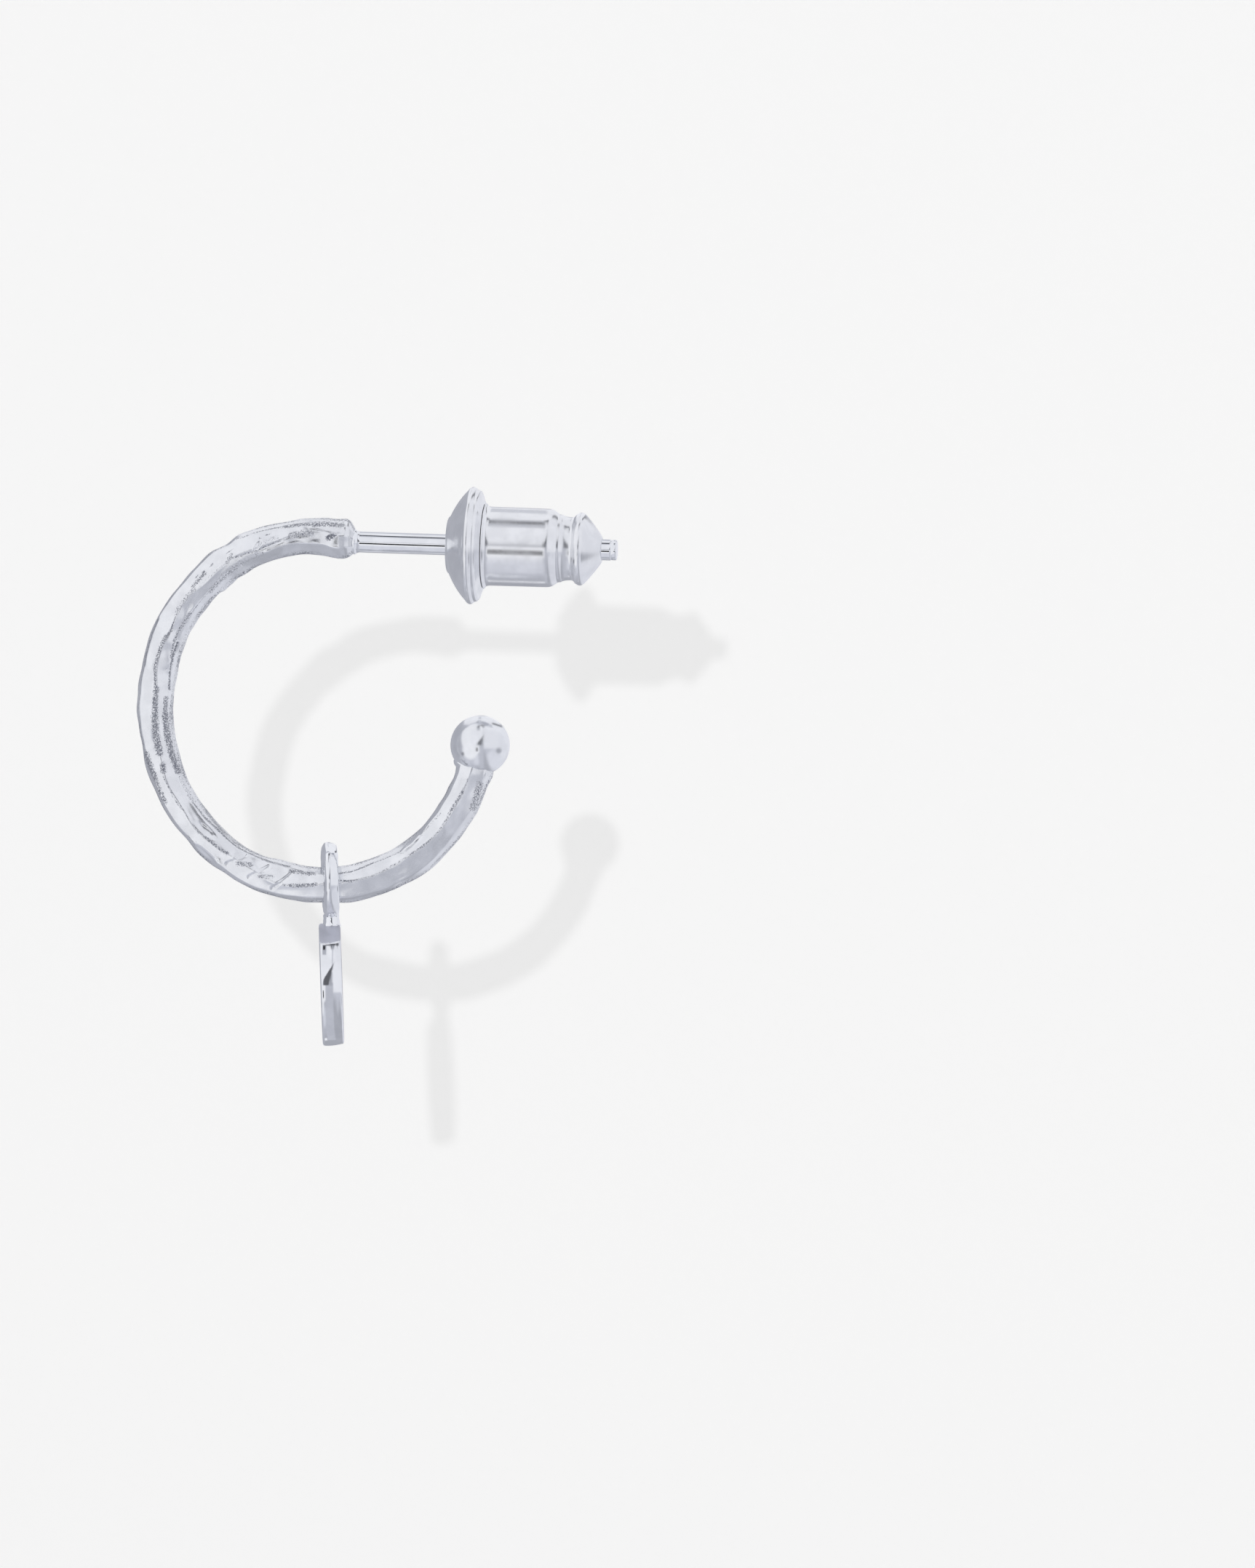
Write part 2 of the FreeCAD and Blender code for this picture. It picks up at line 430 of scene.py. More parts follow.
class Effects:
    """Node groups for what wears and marks silver, with named inputs and outputs."""

    def __init__(self) -> None:
        """Makes the groups."""
        self.grain = self._make_grain()
        self.polish = self._make_polish()

    @staticmethod
    def _group(
        name: str, inputs: dict[str, float], outputs: Sequence[str]
    ) -> tuple[Nodes, bpy.types.NodeOutputs, bpy.types.NodeInputs]:
        """Starts a group, whose first input is the place on the piece.

        Args:
            name: The group's name.
            inputs: Default of each further input, by name.
            outputs: Names of its outputs.

        Returns:
            The helper for the group's nodes, what the group is given and what it puts out.
        """
        nodes = Nodes(bpy.data.node_groups.new(name, "ShaderNodeTree"))
        sockets = nodes.tree.interface
        sockets.new_socket("Vector", in_out="INPUT", socket_type="NodeSocketVector")
        for label, value in inputs.items():
            socket = sockets.new_socket(label, in_out="INPUT", socket_type="NodeSocketFloat")
            socket.default_value = value
        for label in outputs:
            sockets.new_socket(label, in_out="OUTPUT", socket_type="NodeSocketFloat")
        return nodes, nodes.add("NodeGroupInput").outputs, nodes.add("NodeGroupOutput").inputs

    def _make_grain(self) -> bpy.types.NodeTree:
        """Rough, pitted streaks where a mask says that the hammer left the skin open.

        Returns:
            The group, which puts out how pitted a place is, its dark streaks and its height.
        """
        nodes, given, made = self._group(
            "pitted_grain", {"Amount": 0.0, "Scale": 16.0}, ("Pits", "Streak", "Height")
        )
        coarse = nodes.noise(given["Vector"], given["Scale"], 3.0, 0.62)
        scale = nodes.math("MULTIPLY", given["Scale"], 1.25)
        inputs = {"Vector": given["Vector"], "Scale": scale}
        cells = nodes.add("ShaderNodeTexVoronoi", inputs, feature="F1").outputs[0]
        depth = nodes.math("SUBTRACT", coarse, nodes.math("MULTIPLY", cells, 0.55))
        amount = given["Amount"]
        level = nodes.math("SUBTRACT", 0.52, nodes.math("MULTIPLY", amount, 0.46))
        over = nodes.math("SUBTRACT", depth, level)
        pits = nodes.math("MULTIPLY", nodes.ease(over, -0.06, 0.30), nodes.ease(amount, 0.02, 0.4))
        broken = nodes.ease(coarse, 0.38, 0.60)
        streak = nodes.math("MULTIPLY", nodes.math("POWER", amount, 2.0), broken)
        nodes.join(pits, made["Pits"])
        nodes.join(streak, made["Streak"])
        nodes.join(nodes.math("MULTIPLY", pits, -1.0), made["Height"])
        return nodes.tree

    def _make_polish(self) -> bpy.types.NodeTree:
        """Hairlines and faint clouding that a polished surface keeps.

        Returns:
            The group, which puts out where the hairlines and the clouds are.
        """
        nodes, given, made = self._group(
            "polish_marks", {"Scale": 9.0, "Stretch": 12.0}, ("Hairlines", "Cloud")
        )
        x, y, z = nodes.add("ShaderNodeSeparateXYZ", {0: given["Vector"]}).outputs
        x = nodes.math("DIVIDE", x, given["Stretch"])
        drawn = nodes.add("ShaderNodeCombineXYZ", {0: x, 1: y, 2: z}).outputs[0]
        lines = nodes.noise(drawn, nodes.math("MULTIPLY", given["Scale"], 6.0), 4.0)
        cloud_scale = nodes.math("MULTIPLY", given["Scale"], 0.16)
        cloud = nodes.noise(given["Vector"], cloud_scale, 2.0)
        nodes.join(nodes.ease(lines, 0.55, 0.75), made["Hairlines"])
        nodes.join(nodes.ease(cloud, 0.35, 0.65), made["Cloud"])
        return nodes.tree


@dataclass(frozen=True)
class SilverFinish:
    """A silver surface, from its tone, polish and marks.

    Args:
        name: The material's name.
        tone: Linear colour of the clean metal.
        tarnish: Linear colour in the pits and clouds.
        roughness: Roughness where the polish is best.
        clouded: What the clouding adds to the roughness.
        hairline_depth: Depth of the hairlines in millimetres.
        grain_depth: Depth of the pits in millimetres.
        grain_scale: Pits to the millimetre.
        stretch: How much longer than wide the hairlines are.
        masked: True where the piece's own grain value says where the pits are.
        spots: Amount of pits all over, where there is no such value.
    """

    name: str
    tone: tuple[float, float, float]
    tarnish: tuple[float, float, float]
    roughness: float
    clouded: float
    hairline_depth: float
    grain_depth: float
    grain_scale: float
    stretch: float
    masked: bool
    spots: float = 0.0

    def make(self, effects: Effects) -> Material:
        """Builds the material.

        Args:
            effects: The shared node groups.

        Returns:
            The material, all of silver.
        """
        material = bpy.data.materials.new(self.name)
        material.use_nodes = True
        nodes = Nodes(material.node_tree)
        shader = material.node_tree.nodes["Principled BSDF"].inputs
        place = nodes.add("ShaderNodeTexCoord").outputs["Object"]
        scale = (1 / MM, 1 / MM, 1 / MM)
        in_mm = nodes.add("ShaderNodeMapping", {"Vector": place, "Scale": scale}).outputs[0]
        inputs = {"Vector": in_mm, "Stretch": self.stretch}
        polish = nodes.add("ShaderNodeGroup", inputs, node_tree=effects.polish)
        amount = self.spots
        if self.masked:
            mask = nodes.add("ShaderNodeAttribute", attribute_name="grain")
            amount = mask.outputs["Fac"]
        inputs = {"Vector": in_mm, "Scale": self.grain_scale, "Amount": amount}
        grain = nodes.add("ShaderNodeGroup", inputs, node_tree=effects.grain)
        cloud, pits = polish.outputs["Cloud"], grain.outputs["Pits"]
        dulled = nodes.math("MULTIPLY", cloud, 0.10)
        stained = nodes.math("MAXIMUM", dulled, nodes.math("MULTIPLY", pits, 0.95))
        streak = nodes.math("MULTIPLY", grain.outputs["Streak"], 0.90)
        stained = nodes.math("MAXIMUM", stained, streak)
        rough = nodes.math("MULTIPLY_ADD", cloud, self.clouded, self.roughness)
        rough = nodes.math("MULTIPLY_ADD", pits, 0.22, rough)
        lines = nodes.math("MULTIPLY", polish.outputs["Hairlines"], -self.hairline_depth * MM)
        height = nodes.math("MULTIPLY_ADD", grain.outputs["Height"], self.grain_depth * MM, lines)
        bump = nodes.add("ShaderNodeBump", {"Strength": 1.0, "Distance": 1.0, "Height": height})
        nodes.join(1.0, shader["Metallic"])
        nodes.join(nodes.mix(stained, (*self.tone, 1), (*self.tarnish, 1)), shader["Base Color"])
        nodes.join(rough, shader["Roughness"])
        nodes.join(bump.outputs["Normal"], shader["Normal"])
        return material


HAMMERED_SILVER = SilverFinish(
    name="hammered_silver",
    tone=(0.875, 0.884, 0.902),
    tarnish=(0.20, 0.21, 0.25),
    roughness=0.13,
    clouded=0.04,
    hairline_depth=0.0016,
    grain_depth=0.016,
    grain_scale=15.0,
    stretch=1.0,
    masked=True,
)
POLISHED_SILVER = SilverFinish(
    name="polished_silver",
    tone=(0.905, 0.915, 0.935),
    tarnish=(0.30, 0.31, 0.35),
    roughness=0.045,
    clouded=0.03,
    hairline_depth=0.0001,
    grain_depth=0.004,
    grain_scale=6.0,
    stretch=6.0,
    masked=False,
    spots=0.04,
)
SATIN_SILVER = replace(POLISHED_SILVER, name="satin_silver", roughness=0.17)
# Matt silver for the filed flats. Its darker lavender tone is painted reflection of the dim
# surroundings that the flats face.
FILED_SHADED_SILVER = replace(
    POLISHED_SILVER, name="filed_shaded_silver", tone=(0.74, 0.745, 0.80), roughness=0.44
)
CLUTCH_PLATE = replace(
    POLISHED_SILVER,
    name="clutch_plate",
    tone=(0.90, 0.905, 0.92),
    roughness=0.16,
    clouded=0.04,
    hairline_depth=0.0005,
    stretch=1.0,
    spots=0.03,
)


# The hoop


@dataclass(frozen=True)
class Station:
    """A section of the hammered wire, in degrees round the hoop and millimetres."""

    turn: float
    shift: float
    width: float
    outer_ridge: float
    mid_ridge: float
    inner_ridge: float


@dataclass(frozen=True)
class ShoulderStation:
    """A section of the solder block, across the post's axis, in millimetres."""

    x: float
    middle_z: float
    height: float
    depth: float


class Work(Enum):
    """What a stroke leaves on the wire."""

    GRAIN = "grain"
    CREASE = "crease"
    CHISEL = "chisel"


@dataclass(frozen=True)
class Stroke:
    """A straight stretch of work on the wire's face.

    Args:
        work: What it is.
        turn: Where it starts, in degrees round the hoop.
        out: How far outside the true circle it starts, in millimetres.
        end_turn: Where it ends.
        end_out: How far outside the true circle it ends.
        half_width: Half its width in millimetres.
        strength: From 0 to 1.
    """

    work: Work
    turn: float
    out: float
    end_turn: float
    end_out: float
    half_width: float
    strength: float


@dataclass(frozen=True)
class Dent:
    """An oval dent, or a bump where its depth is negative, in degrees and millimetres."""

    turn: float
    out: float
    half_length: float
    half_width: float
    lean: float
    depth: float


STATIONS = (
    Station(92, -0.18, 1.68, 0.54, 0.20, -0.34),
    Station(98, -0.09, 1.58, 0.55, 0.19, -0.31),
    Station(106, -0.03, 1.53, 0.57, 0.04, -0.30),
    Station(114, 0.05, 1.57, 0.62, -0.08, -0.44),
    Station(119, 0.08, 1.61, 0.69, -0.02, -0.44),
    Station(123, 0.02, 1.55, 0.68, 0.10, -0.35),
    Station(129, 0.09, 1.60, 0.70, -0.07, -0.39),
    Station(136, 0.05, 1.52, 0.66, -0.10, -0.49),
    Station(144, 0.02, 1.52, 0.66, 0.12, -0.44),
    Station(152, 0.04, 1.55, 0.68, -0.05, -0.41),
    Station(160, 0.00, 1.57, 0.66, 0.02, -0.45),
    Station(168, -0.08, 1.59, 0.62, 0.06, -0.59),
    Station(176, -0.07, 1.59, 0.65, -0.17, -0.64),
    Station(184, -0.07, 1.55, 0.65, -0.14, -0.51),
    Station(192, -0.11, 1.47, 0.62, -0.01, -0.50),
    Station(200, -0.05, 1.58, 0.52, -0.04, -0.60),
    Station(208, -0.02, 1.50, 0.55, 0.03, -0.60),
    Station(216, 0.01, 1.52, 0.59, -0.04, -0.56),
    Station(224, 0.02, 1.50, 0.60, 0.07, -0.50),
    Station(232, 0.08, 1.54, 0.45, -0.05, -0.63),
    Station(240, 0.09, 1.45, 0.53, -0.09, -0.57),
    Station(248, 0.10, 1.54, 0.62, -0.02, -0.64),
    Station(256, 0.05, 1.63, 0.66, 0.22, -0.62),
    Station(264, 0.06, 1.60, 0.57, 0.11, -0.57),
    Station(272, 0.04, 1.53, 0.55, -0.10, -0.50),
    Station(280, 0.04, 1.64, 0.60, -0.15, -0.46),
    Station(288, -0.03, 1.65, 0.66, -0.05, -0.53),
    Station(296, -0.07, 1.62, 0.64, -0.09, -0.60),
    Station(304, -0.13, 1.65, 0.66, -0.15, -0.46),
    Station(312, -0.25, 1.58, 0.64, -0.07, -0.61),
    Station(320, -0.39, 1.60, 0.62, -0.03, -0.59),
    Station(328, -0.49, 1.60, 0.60, -0.11, -0.61),
    Station(336, -0.61, 1.54, 0.56, -0.08, -0.60),
    Station(340, -0.66, 1.66, 0.56, -0.06, -0.60),
    Station(344, -0.72, 1.40, 0.50, -0.06, -0.50),
)
SHOULDER_STATIONS = (
    ShoulderStation(-2.00, 0.00, 0.88, 0.86),
    ShoulderStation(-2.14, 0.07, 1.22, 1.20),
    ShoulderStation(-2.32, 0.12, 1.60, 1.54),
    ShoulderStation(-2.60, 0.11, 1.74, 1.70),
    ShoulderStation(-2.90, 0.12, 1.71, 1.72),
)
SHOULDER_RIDGES = (0.62, 0.12, -0.50)

G, C, K = Work.GRAIN, Work.CREASE, Work.CHISEL
STROKES = (
    Stroke(G, 86.5, 0.36, 96.0, 0.41, 0.09, 0.9),
    Stroke(G, 96.0, 0.41, 104.5, 0.47, 0.07, 0.9),
    Stroke(C, 104.0, 0.47, 112.0, 0.58, 0.035, 0.9),
    Stroke(C, 112.0, 0.58, 120.0, 0.72, 0.035, 0.9),
    Stroke(G, 89.0, -0.10, 91.0, -0.24, 0.11, 1.0),
    Stroke(G, 96.5, 0.02, 103.0, 0.02, 0.14, 0.75),
    Stroke(G, 103.0, 0.00, 108.0, -0.10, 0.05, 0.6),
    Stroke(G, 108.0, 0.12, 112.0, 0.06, 0.10, 0.45),
    Stroke(C, 107.0, -0.10, 115.0, -0.16, 0.04, 0.8),
    Stroke(C, 115.0, -0.16, 120.5, -0.05, 0.035, 0.7),
    Stroke(C, 120.5, -0.05, 124.5, 0.08, 0.035, 0.7),
    Stroke(G, 123.5, 0.20, 126.0, 0.05, 0.08, 0.7),
    Stroke(G, 126.0, 0.05, 140.0, 0.00, 0.04, 0.4),
    Stroke(C, 124.5, 0.05, 133.0, -0.03, 0.03, 0.5),
    Stroke(G, 134.0, 0.30, 139.5, 0.26, 0.08, 0.8),
    Stroke(G, 140.0, 0.12, 149.0, 0.13, 0.10, 0.6),
    Stroke(C, 148.5, 0.12, 152.5, 0.00, 0.04, 0.9),
    Stroke(C, 152.5, 0.00, 155.0, -0.08, 0.045, 1.0),
    Stroke(C, 155.0, -0.08, 157.5, -0.02, 0.04, 0.9),
    Stroke(G, 157.5, 0.00, 163.0, 0.05, 0.08, 0.9),
    Stroke(G, 163.0, 0.05, 169.0, 0.02, 0.08, 0.9),
    Stroke(G, 169.0, 0.02, 175.5, -0.18, 0.07, 0.9),
    Stroke(G, 175.5, -0.20, 185.0, -0.16, 0.12, 1.0),
    Stroke(G, 185.0, -0.14, 197.0, -0.12, 0.15, 0.95),
    Stroke(G, 201.0, -0.12, 203.0, -0.05, 0.12, 1.0),
    Stroke(G, 203.0, 0.00, 216.5, 0.02, 0.05, 0.7),
    Stroke(C, 217.0, -0.03, 225.0, 0.10, 0.035, 0.7),
    Stroke(G, 225.0, 0.10, 231.0, 0.03, 0.05, 0.7),
    Stroke(G, 229.0, 0.02, 238.0, -0.02, 0.07, 0.9),
    Stroke(C, 154.0, 0.72, 160.0, 0.68, 0.05, 1.0),
    Stroke(C, 160.0, 0.68, 168.5, 0.57, 0.05, 1.0),
    Stroke(C, 168.5, 0.57, 195.0, 0.57, 0.03, 0.7),
    Stroke(G, 196.0, 0.50, 204.0, 0.42, 0.13, 0.9),
    Stroke(G, 204.0, 0.42, 212.0, 0.48, 0.10, 0.8),
    Stroke(G, 114.0, -0.36, 122.0, -0.33, 0.12, 0.45),
    Stroke(G, 122.0, -0.33, 130.0, -0.36, 0.13, 0.6),
    Stroke(G, 130.0, -0.38, 137.0, -0.45, 0.08, 0.7),
    Stroke(C, 133.0, -0.44, 150.0, -0.46, 0.03, 0.6),
    Stroke(G, 147.0, -0.40, 158.0, -0.40, 0.06, 0.8),
    Stroke(G, 158.0, -0.42, 164.0, -0.52, 0.05, 0.8),
    Stroke(C, 158.0, -0.55, 168.0, -0.62, 0.045, 1.0),
    Stroke(C, 168.0, -0.62, 175.0, -0.73, 0.05, 1.0),
    Stroke(G, 178.0, -0.62, 184.0, -0.60, 0.08, 0.9),
    Stroke(G, 184.0, -0.60, 205.0, -0.62, 0.12, 1.0),
    Stroke(G, 205.0, -0.60, 217.0, -0.58, 0.08, 0.5),
    Stroke(C, 166.9, -0.57, 168.9, -0.36, 0.02, 0.7),
    Stroke(C, 217.0, -0.55, 229.0, -0.57, 0.04, 0.8),
    Stroke(C, 229.0, -0.57, 240.0, -0.50, 0.04, 0.9),
    Stroke(C, 240.0, -0.50, 249.0, -0.55, 0.04, 0.9),
    Stroke(C, 249.0, -0.55, 259.0, -0.60, 0.045, 0.9),
    Stroke(G, 260.0, -0.42, 268.0, -0.45, 0.09, 0.9),
    Stroke(G, 242.5, 0.10, 246.5, -0.12, 0.10, 0.8),
    Stroke(G, 250.5, 0.22, 254.5, 0.02, 0.08, 0.7),
    Stroke(G, 258.5, 0.25, 263.0, 0.12, 0.05, 0.8),
    Stroke(G, 261.0, 0.20, 269.0, 0.02, 0.08, 0.9),
    Stroke(K, 239.4, 0.36, 243.4, -0.34, 0.07, 1.0),
    Stroke(K, 247.4, 0.41, 252.2, -0.34, 0.07, 1.0),
    Stroke(K, 255.4, 0.54, 260.6, -0.34, 0.07, 1.0),
    Stroke(G, 275.0, -0.16, 281.0, -0.05, 0.05, 0.9),
    Stroke(G, 281.0, -0.05, 286.0, -0.04, 0.04, 0.6),
    Stroke(G, 286.0, -0.04, 292.0, -0.16, 0.04, 0.6),
    Stroke(G, 292.0, -0.16, 302.0, -0.28, 0.045, 0.6),
    Stroke(G, 302.0, -0.28, 313.0, -0.30, 0.05, 0.8),
    Stroke(G, 313.0, -0.30, 318.0, -0.41, 0.05, 0.7),
    Stroke(G, 318.0, -0.41, 323.5, -0.57, 0.06, 0.7),
    Stroke(G, 323.5, -0.57, 331.0, -0.62, 0.07, 0.9),
    Stroke(G, 331.0, -0.62, 336.0, -0.67, 0.04, 0.7),
    Stroke(C, 275.0, -0.44, 281.0, -0.47, 0.04, 0.9),
    Stroke(C, 281.0, -0.47, 289.0, -0.62, 0.04, 0.9),
    Stroke(C, 289.0, -0.62, 300.0, -0.64, 0.035, 0.7),
    Stroke(C, 309.0, -0.77, 320.0, -0.86, 0.035, 0.6),
    Stroke(G, 328.0, 0.12, 336.0, -0.12, 0.13, 0.8),
    Stroke(C, 120.9, 0.44, 127.0, 0.36, 0.02, 0.8),
    Stroke(C, 127.0, 0.36, 133.5, 0.40, 0.02, 0.8),
    Stroke(C, 133.5, 0.40, 138.0, 0.49, 0.02, 0.8),
    Stroke(C, 108.5, 0.36, 113.3, 0.31, 0.02, 0.8),
)
DENTS = (
    Dent(90.5, -0.18, 0.12, 0.10, 0.0, 0.05),
    Dent(114.5, 0.03, 0.27, 0.09, -35.0, 0.10),
    Dent(232.2, 0.55, 0.62, 0.13, 0.0, 0.05),
    Dent(227.4, -0.21, 0.55, 0.16, -5.0, 0.03),
    Dent(304.5, -0.68, 0.62, 0.12, -8.0, -0.06),
    Dent(295.8, 0.44, 0.37, 0.07, 0.0, 0.02),
    Dent(283.0, 0.32, 0.90, 0.34, 0.0, 0.012),
    Dent(307.0, 0.18, 0.90, 0.34, 0.0, 0.012),
)


@dataclass
class HammeredWire:
    """The hoop's wire with its solder block, hammered by hand.

    Args:
        radius: The true circle's radius.
        centre: The circle's centre in X and Z.
        depth: The wire's depth, front to back.
        wobble: How much the depth changes along the wire.
        waves: How often it changes, round a full circle.
        roundness: Power of the section's curve.
        edge_flat: Half the flat on the outer and inner edge.
        ridge_limit: Largest share of half the width at which a ridge stands.
        end_turn: Where the wire ends, inside the ball.
        start_x: Where the solder block ends, on the post.
        columns: Vertices round the section, in ten equal groups.
        spacing: Distance between sections along the wire.
        strips: Sections made between two steps of the spin.
        ridge_soft: How far a ridge's rounding reaches, as a share of the girth.
        crown: How far a facet stands out between its ridges.
        blow_reach: How far a hammer's blow reaches along the wire.
        blow_girth: How far it reaches round it, as a share of the girth.
    """

    radius: float = 7.62
    centre: tuple[float, float] = (-3.01, -7.29)
    depth: float = 1.70
    wobble: float = 0.035
    waves: float = 7.0
    roundness: float = 2.3
    edge_flat: float = 0.17
    ridge_limit: float = 0.88
    end_turn: float = 344.0
    start_x: float = -2.00
    columns: int = 110
    spacing: float = 0.047
    strips: int = 8
    ridge_soft: float = 0.006
    crown: float = 0.012
    blow_reach: float = 1.15
    blow_girth: float = 0.055
    knots: np.ndarray = field(init=False)
    tables: dict[str, np.ndarray] = field(init=False)

    def __post_init__(self) -> None:
        """Joins the two tables of stations into one, by their turn round the hoop."""
        block = []
        for row in SHOULDER_STATIONS:
            turn = 90 - math.degrees((row.x - self.centre[0]) / self.radius)
            shift = row.middle_z - (self.centre[1] + self.radius)
            ridges = [share * row.height / 2 for share in SHOULDER_RIDGES]
            block.append([turn, shift, row.height, row.depth, *ridges, *ridges])
        wire = []
        for row, back in zip(STATIONS, reversed(STATIONS)):
            sway = math.sin(self.waves * math.radians(row.turn))
            depth = self.depth + 2 * self.wobble * sway
            front = [row.outer_ridge, row.mid_ridge, row.inner_ridge]
            behind = [back.outer_ridge, -back.mid_ridge, back.inner_ridge]
            limit = self.ridge_limit * row.width / 2
            ridges = [float(np.clip(value, -limit, limit)) for value in front + behind]
            wire.append([row.turn, row.shift, row.width, depth, *ridges])
        rows = np.array(sorted(block + wire))
        self.knots = rows[:, 0]
        names = ("shift", "width", "depth", "outer", "mid", "inner")
        names += ("back_outer", "back_mid", "back_inner")
        self.tables = {name: rows[:, i + 1] for i, name in enumerate(names)}

    def measure(self, name: str, turn: np.ndarray) -> np.ndarray:
        """A column of the stations' table, at any turn."""
        return eased(turn, self.knots, self.tables[name])

    def _corners(self, turn: np.ndarray) -> tuple[np.ndarray, np.ndarray]:
        """The ten corners of the section.

        Args:
            turn: Degrees round the hoop, for each section.

        Returns:
            How far out and how far back they stand, with a row for each section.
        """
        half_width = self.measure("width", turn) / 2
        half_depth = self.measure("depth", turn) / 2
        power = self.roundness

        def back_from_middle(offset: np.ndarray) -> np.ndarray:
            """Distance of a ridge from the section's middle plane."""
            share = np.minimum(np.abs(offset) / half_width, self.ridge_limit)
            return half_depth * (1 - share**power) ** (1 / power)

        flat = np.full_like(turn, self.edge_flat)
        front = [self.measure(name, turn) for name in ("outer", "mid", "inner")]
        behind = [self.measure(name, turn) for name in ("back_inner", "back_mid", "back_outer")]
        out = [half_width, *front, -half_width, -half_width, *behind, half_width]
        across = [-flat, *(-back_from_middle(r) for r in front), -flat]
        across += [flat, *(back_from_middle(r) for r in behind), flat]
        return np.stack(out, axis=1), np.stack(across, axis=1)

    def _section(self, turn: np.ndarray, girth: np.ndarray) -> tuple[np.ndarray, np.ndarray]:
        """Point of the section, outwards from its middle and front to back.

        Args:
            turn: Degrees round the hoop, for each point.
            girth: Share round the section from the outer edge, over the front.

        Returns:
            How far out and how far back each point stands.
        """
        out, across = self._corners(turn)
        rows = np.arange(len(turn))
        total_out = np.zeros_like(turn)
        total_across = np.zeros_like(turn)
        for step, weight in ((-1, 0.25), (0, 0.5), (1, 0.25)):
            place = ((girth + step * self.ridge_soft) % 1.0) * 10
            side = np.minimum(place.astype(int), 9)
            share = place - side
            ahead = (side + 1) % 10
            run_out = out[rows, ahead] - out[rows, side]
            run_across = across[rows, ahead] - across[rows, side]
            length = np.hypot(run_out, run_across)
            stand = self.crown * 4 * share * (1 - share)
            at_out = out[rows, side] + share * run_out
            at_across = across[rows, side] + share * run_across
            total_out += weight * (at_out + stand * run_across / length)
            total_across += weight * (at_across - stand * run_out / length)
        return total_out, total_across

    def _outward(self, turn: np.ndarray, girth: np.ndarray) -> tuple[np.ndarray, np.ndarray]:
        """The section's own outward direction.

        Args:
            turn: Degrees round the hoop, for each point.
            girth: Share round the section, for each point.

        Returns:
            The direction's parts, outwards from the hoop and back.
        """
        nudge = 0.012
        before = self._section(turn, girth - nudge)
        after = self._section(turn, girth + nudge)
        run_out, run_across = after[0] - before[0], after[1] - before[1]
        length = np.maximum(np.hypot(run_out, run_across), 1e-9)
        return -run_across / length, run_out / length

    def build(self) -> Bench:
        """Spins the wire round the hoop, then works its surface.

        Returns:
            The bench with the finished wire on it.
        """
        top = self.centre[1] + self.radius
        bench = Bench("hoop_wire", self.columns, self.depth / 2, self.start_x, top)
        bench.fill()
        pulls = math.ceil((self.start_x - self.centre[0]) / self.spacing)
        for _ in range(pulls):
            bench.pull((self.centre[0] - self.start_x) / pulls)
        sweep = math.radians(self.end_turn - 90)
        steps = math.ceil(sweep * self.radius / self.spacing / self.strips)
        middle = (self.centre[0], 0, self.centre[1])
        bpy.ops.mesh.spin(steps=steps, angle=sweep, center=middle, axis=(0, 1, 0))
        bench.fill()
        bpy.ops.mesh.select_mode(type="EDGE")
        mesh = bmesh.from_edit_mesh(bench.obj.data)
        for edge in mesh.edges:
            edge.select = edge.calc_length() > 2.5 * self.spacing
        bmesh.update_edit_mesh(bench.obj.data)
        bpy.ops.mesh.subdivide(number_cuts=self.strips - 1)
        bpy.ops.mesh.select_mode(type="VERT")
        bench.close()
        return bench

    def hammer(self, bench: Bench) -> None:
        """Moves the tube's vertices to the hammered surface and paints its grain.

        Args:
            bench: The bench with the plain tube.
        """
        plain = bench.points()
        from_x = plain[:, 0] - self.centre[0]
        from_z = plain[:, 2] - self.centre[1]
        straight = (from_x > 1e-5) & (from_z > 0) & (np.abs(from_x) < 1.2)
        arc_turn = np.degrees(np.arctan2(from_z, from_x)) % 360
        turn = np.where(straight, 90 - np.degrees(from_x / self.radius), arc_turn)
        reach = np.where(straight, from_z, np.hypot(from_x, from_z)) - self.radius
        girth = (np.arctan2(-plain[:, 1], reach) / (2 * math.pi)) % 1.0
        out, across = self._section(turn, girth)
        outward, backward = self._outward(turn, girth)
        out = out + self.measure("shift", turn)
        run = np.radians(turn) * self.radius
        front = smooth_step(0.2, -0.2, across)
        lift, grain = self._worked(turn, run, out, front)
        mirrored = STATIONS[0].turn + STATIONS[-1].turn - turn
        mirrored_run = np.radians(mirrored) * self.radius
        behind_lift, behind_grain = self._worked(mirrored, mirrored_run, out, 1 - front)
        lift = lift + behind_lift + self._blows(turn, girth) + self._ripple(run, girth)
        grain = np.maximum(grain, behind_grain)
        edge = smooth_step(self.edge_flat + 0.30, self.edge_flat + 0.05, np.abs(across))
        patchy = 0.62 + 0.20 * np.sin(2.3 * run + 5 * girth)
        grain = np.maximum(grain, edge * patchy)
        out = out + outward * lift
        across = across + backward * lift
        angle = np.radians(np.where(straight, 90.0, turn))
        far = self.radius + out
        x = np.where(straight, plain[:, 0], self.centre[0] + far * np.cos(angle))
        z = np.where(straight, self.centre[1] + far, self.centre[1] + far * np.sin(angle))
        bench.place_points(np.stack([x, across, z], axis=1))
        bench.paint("grain", grain)

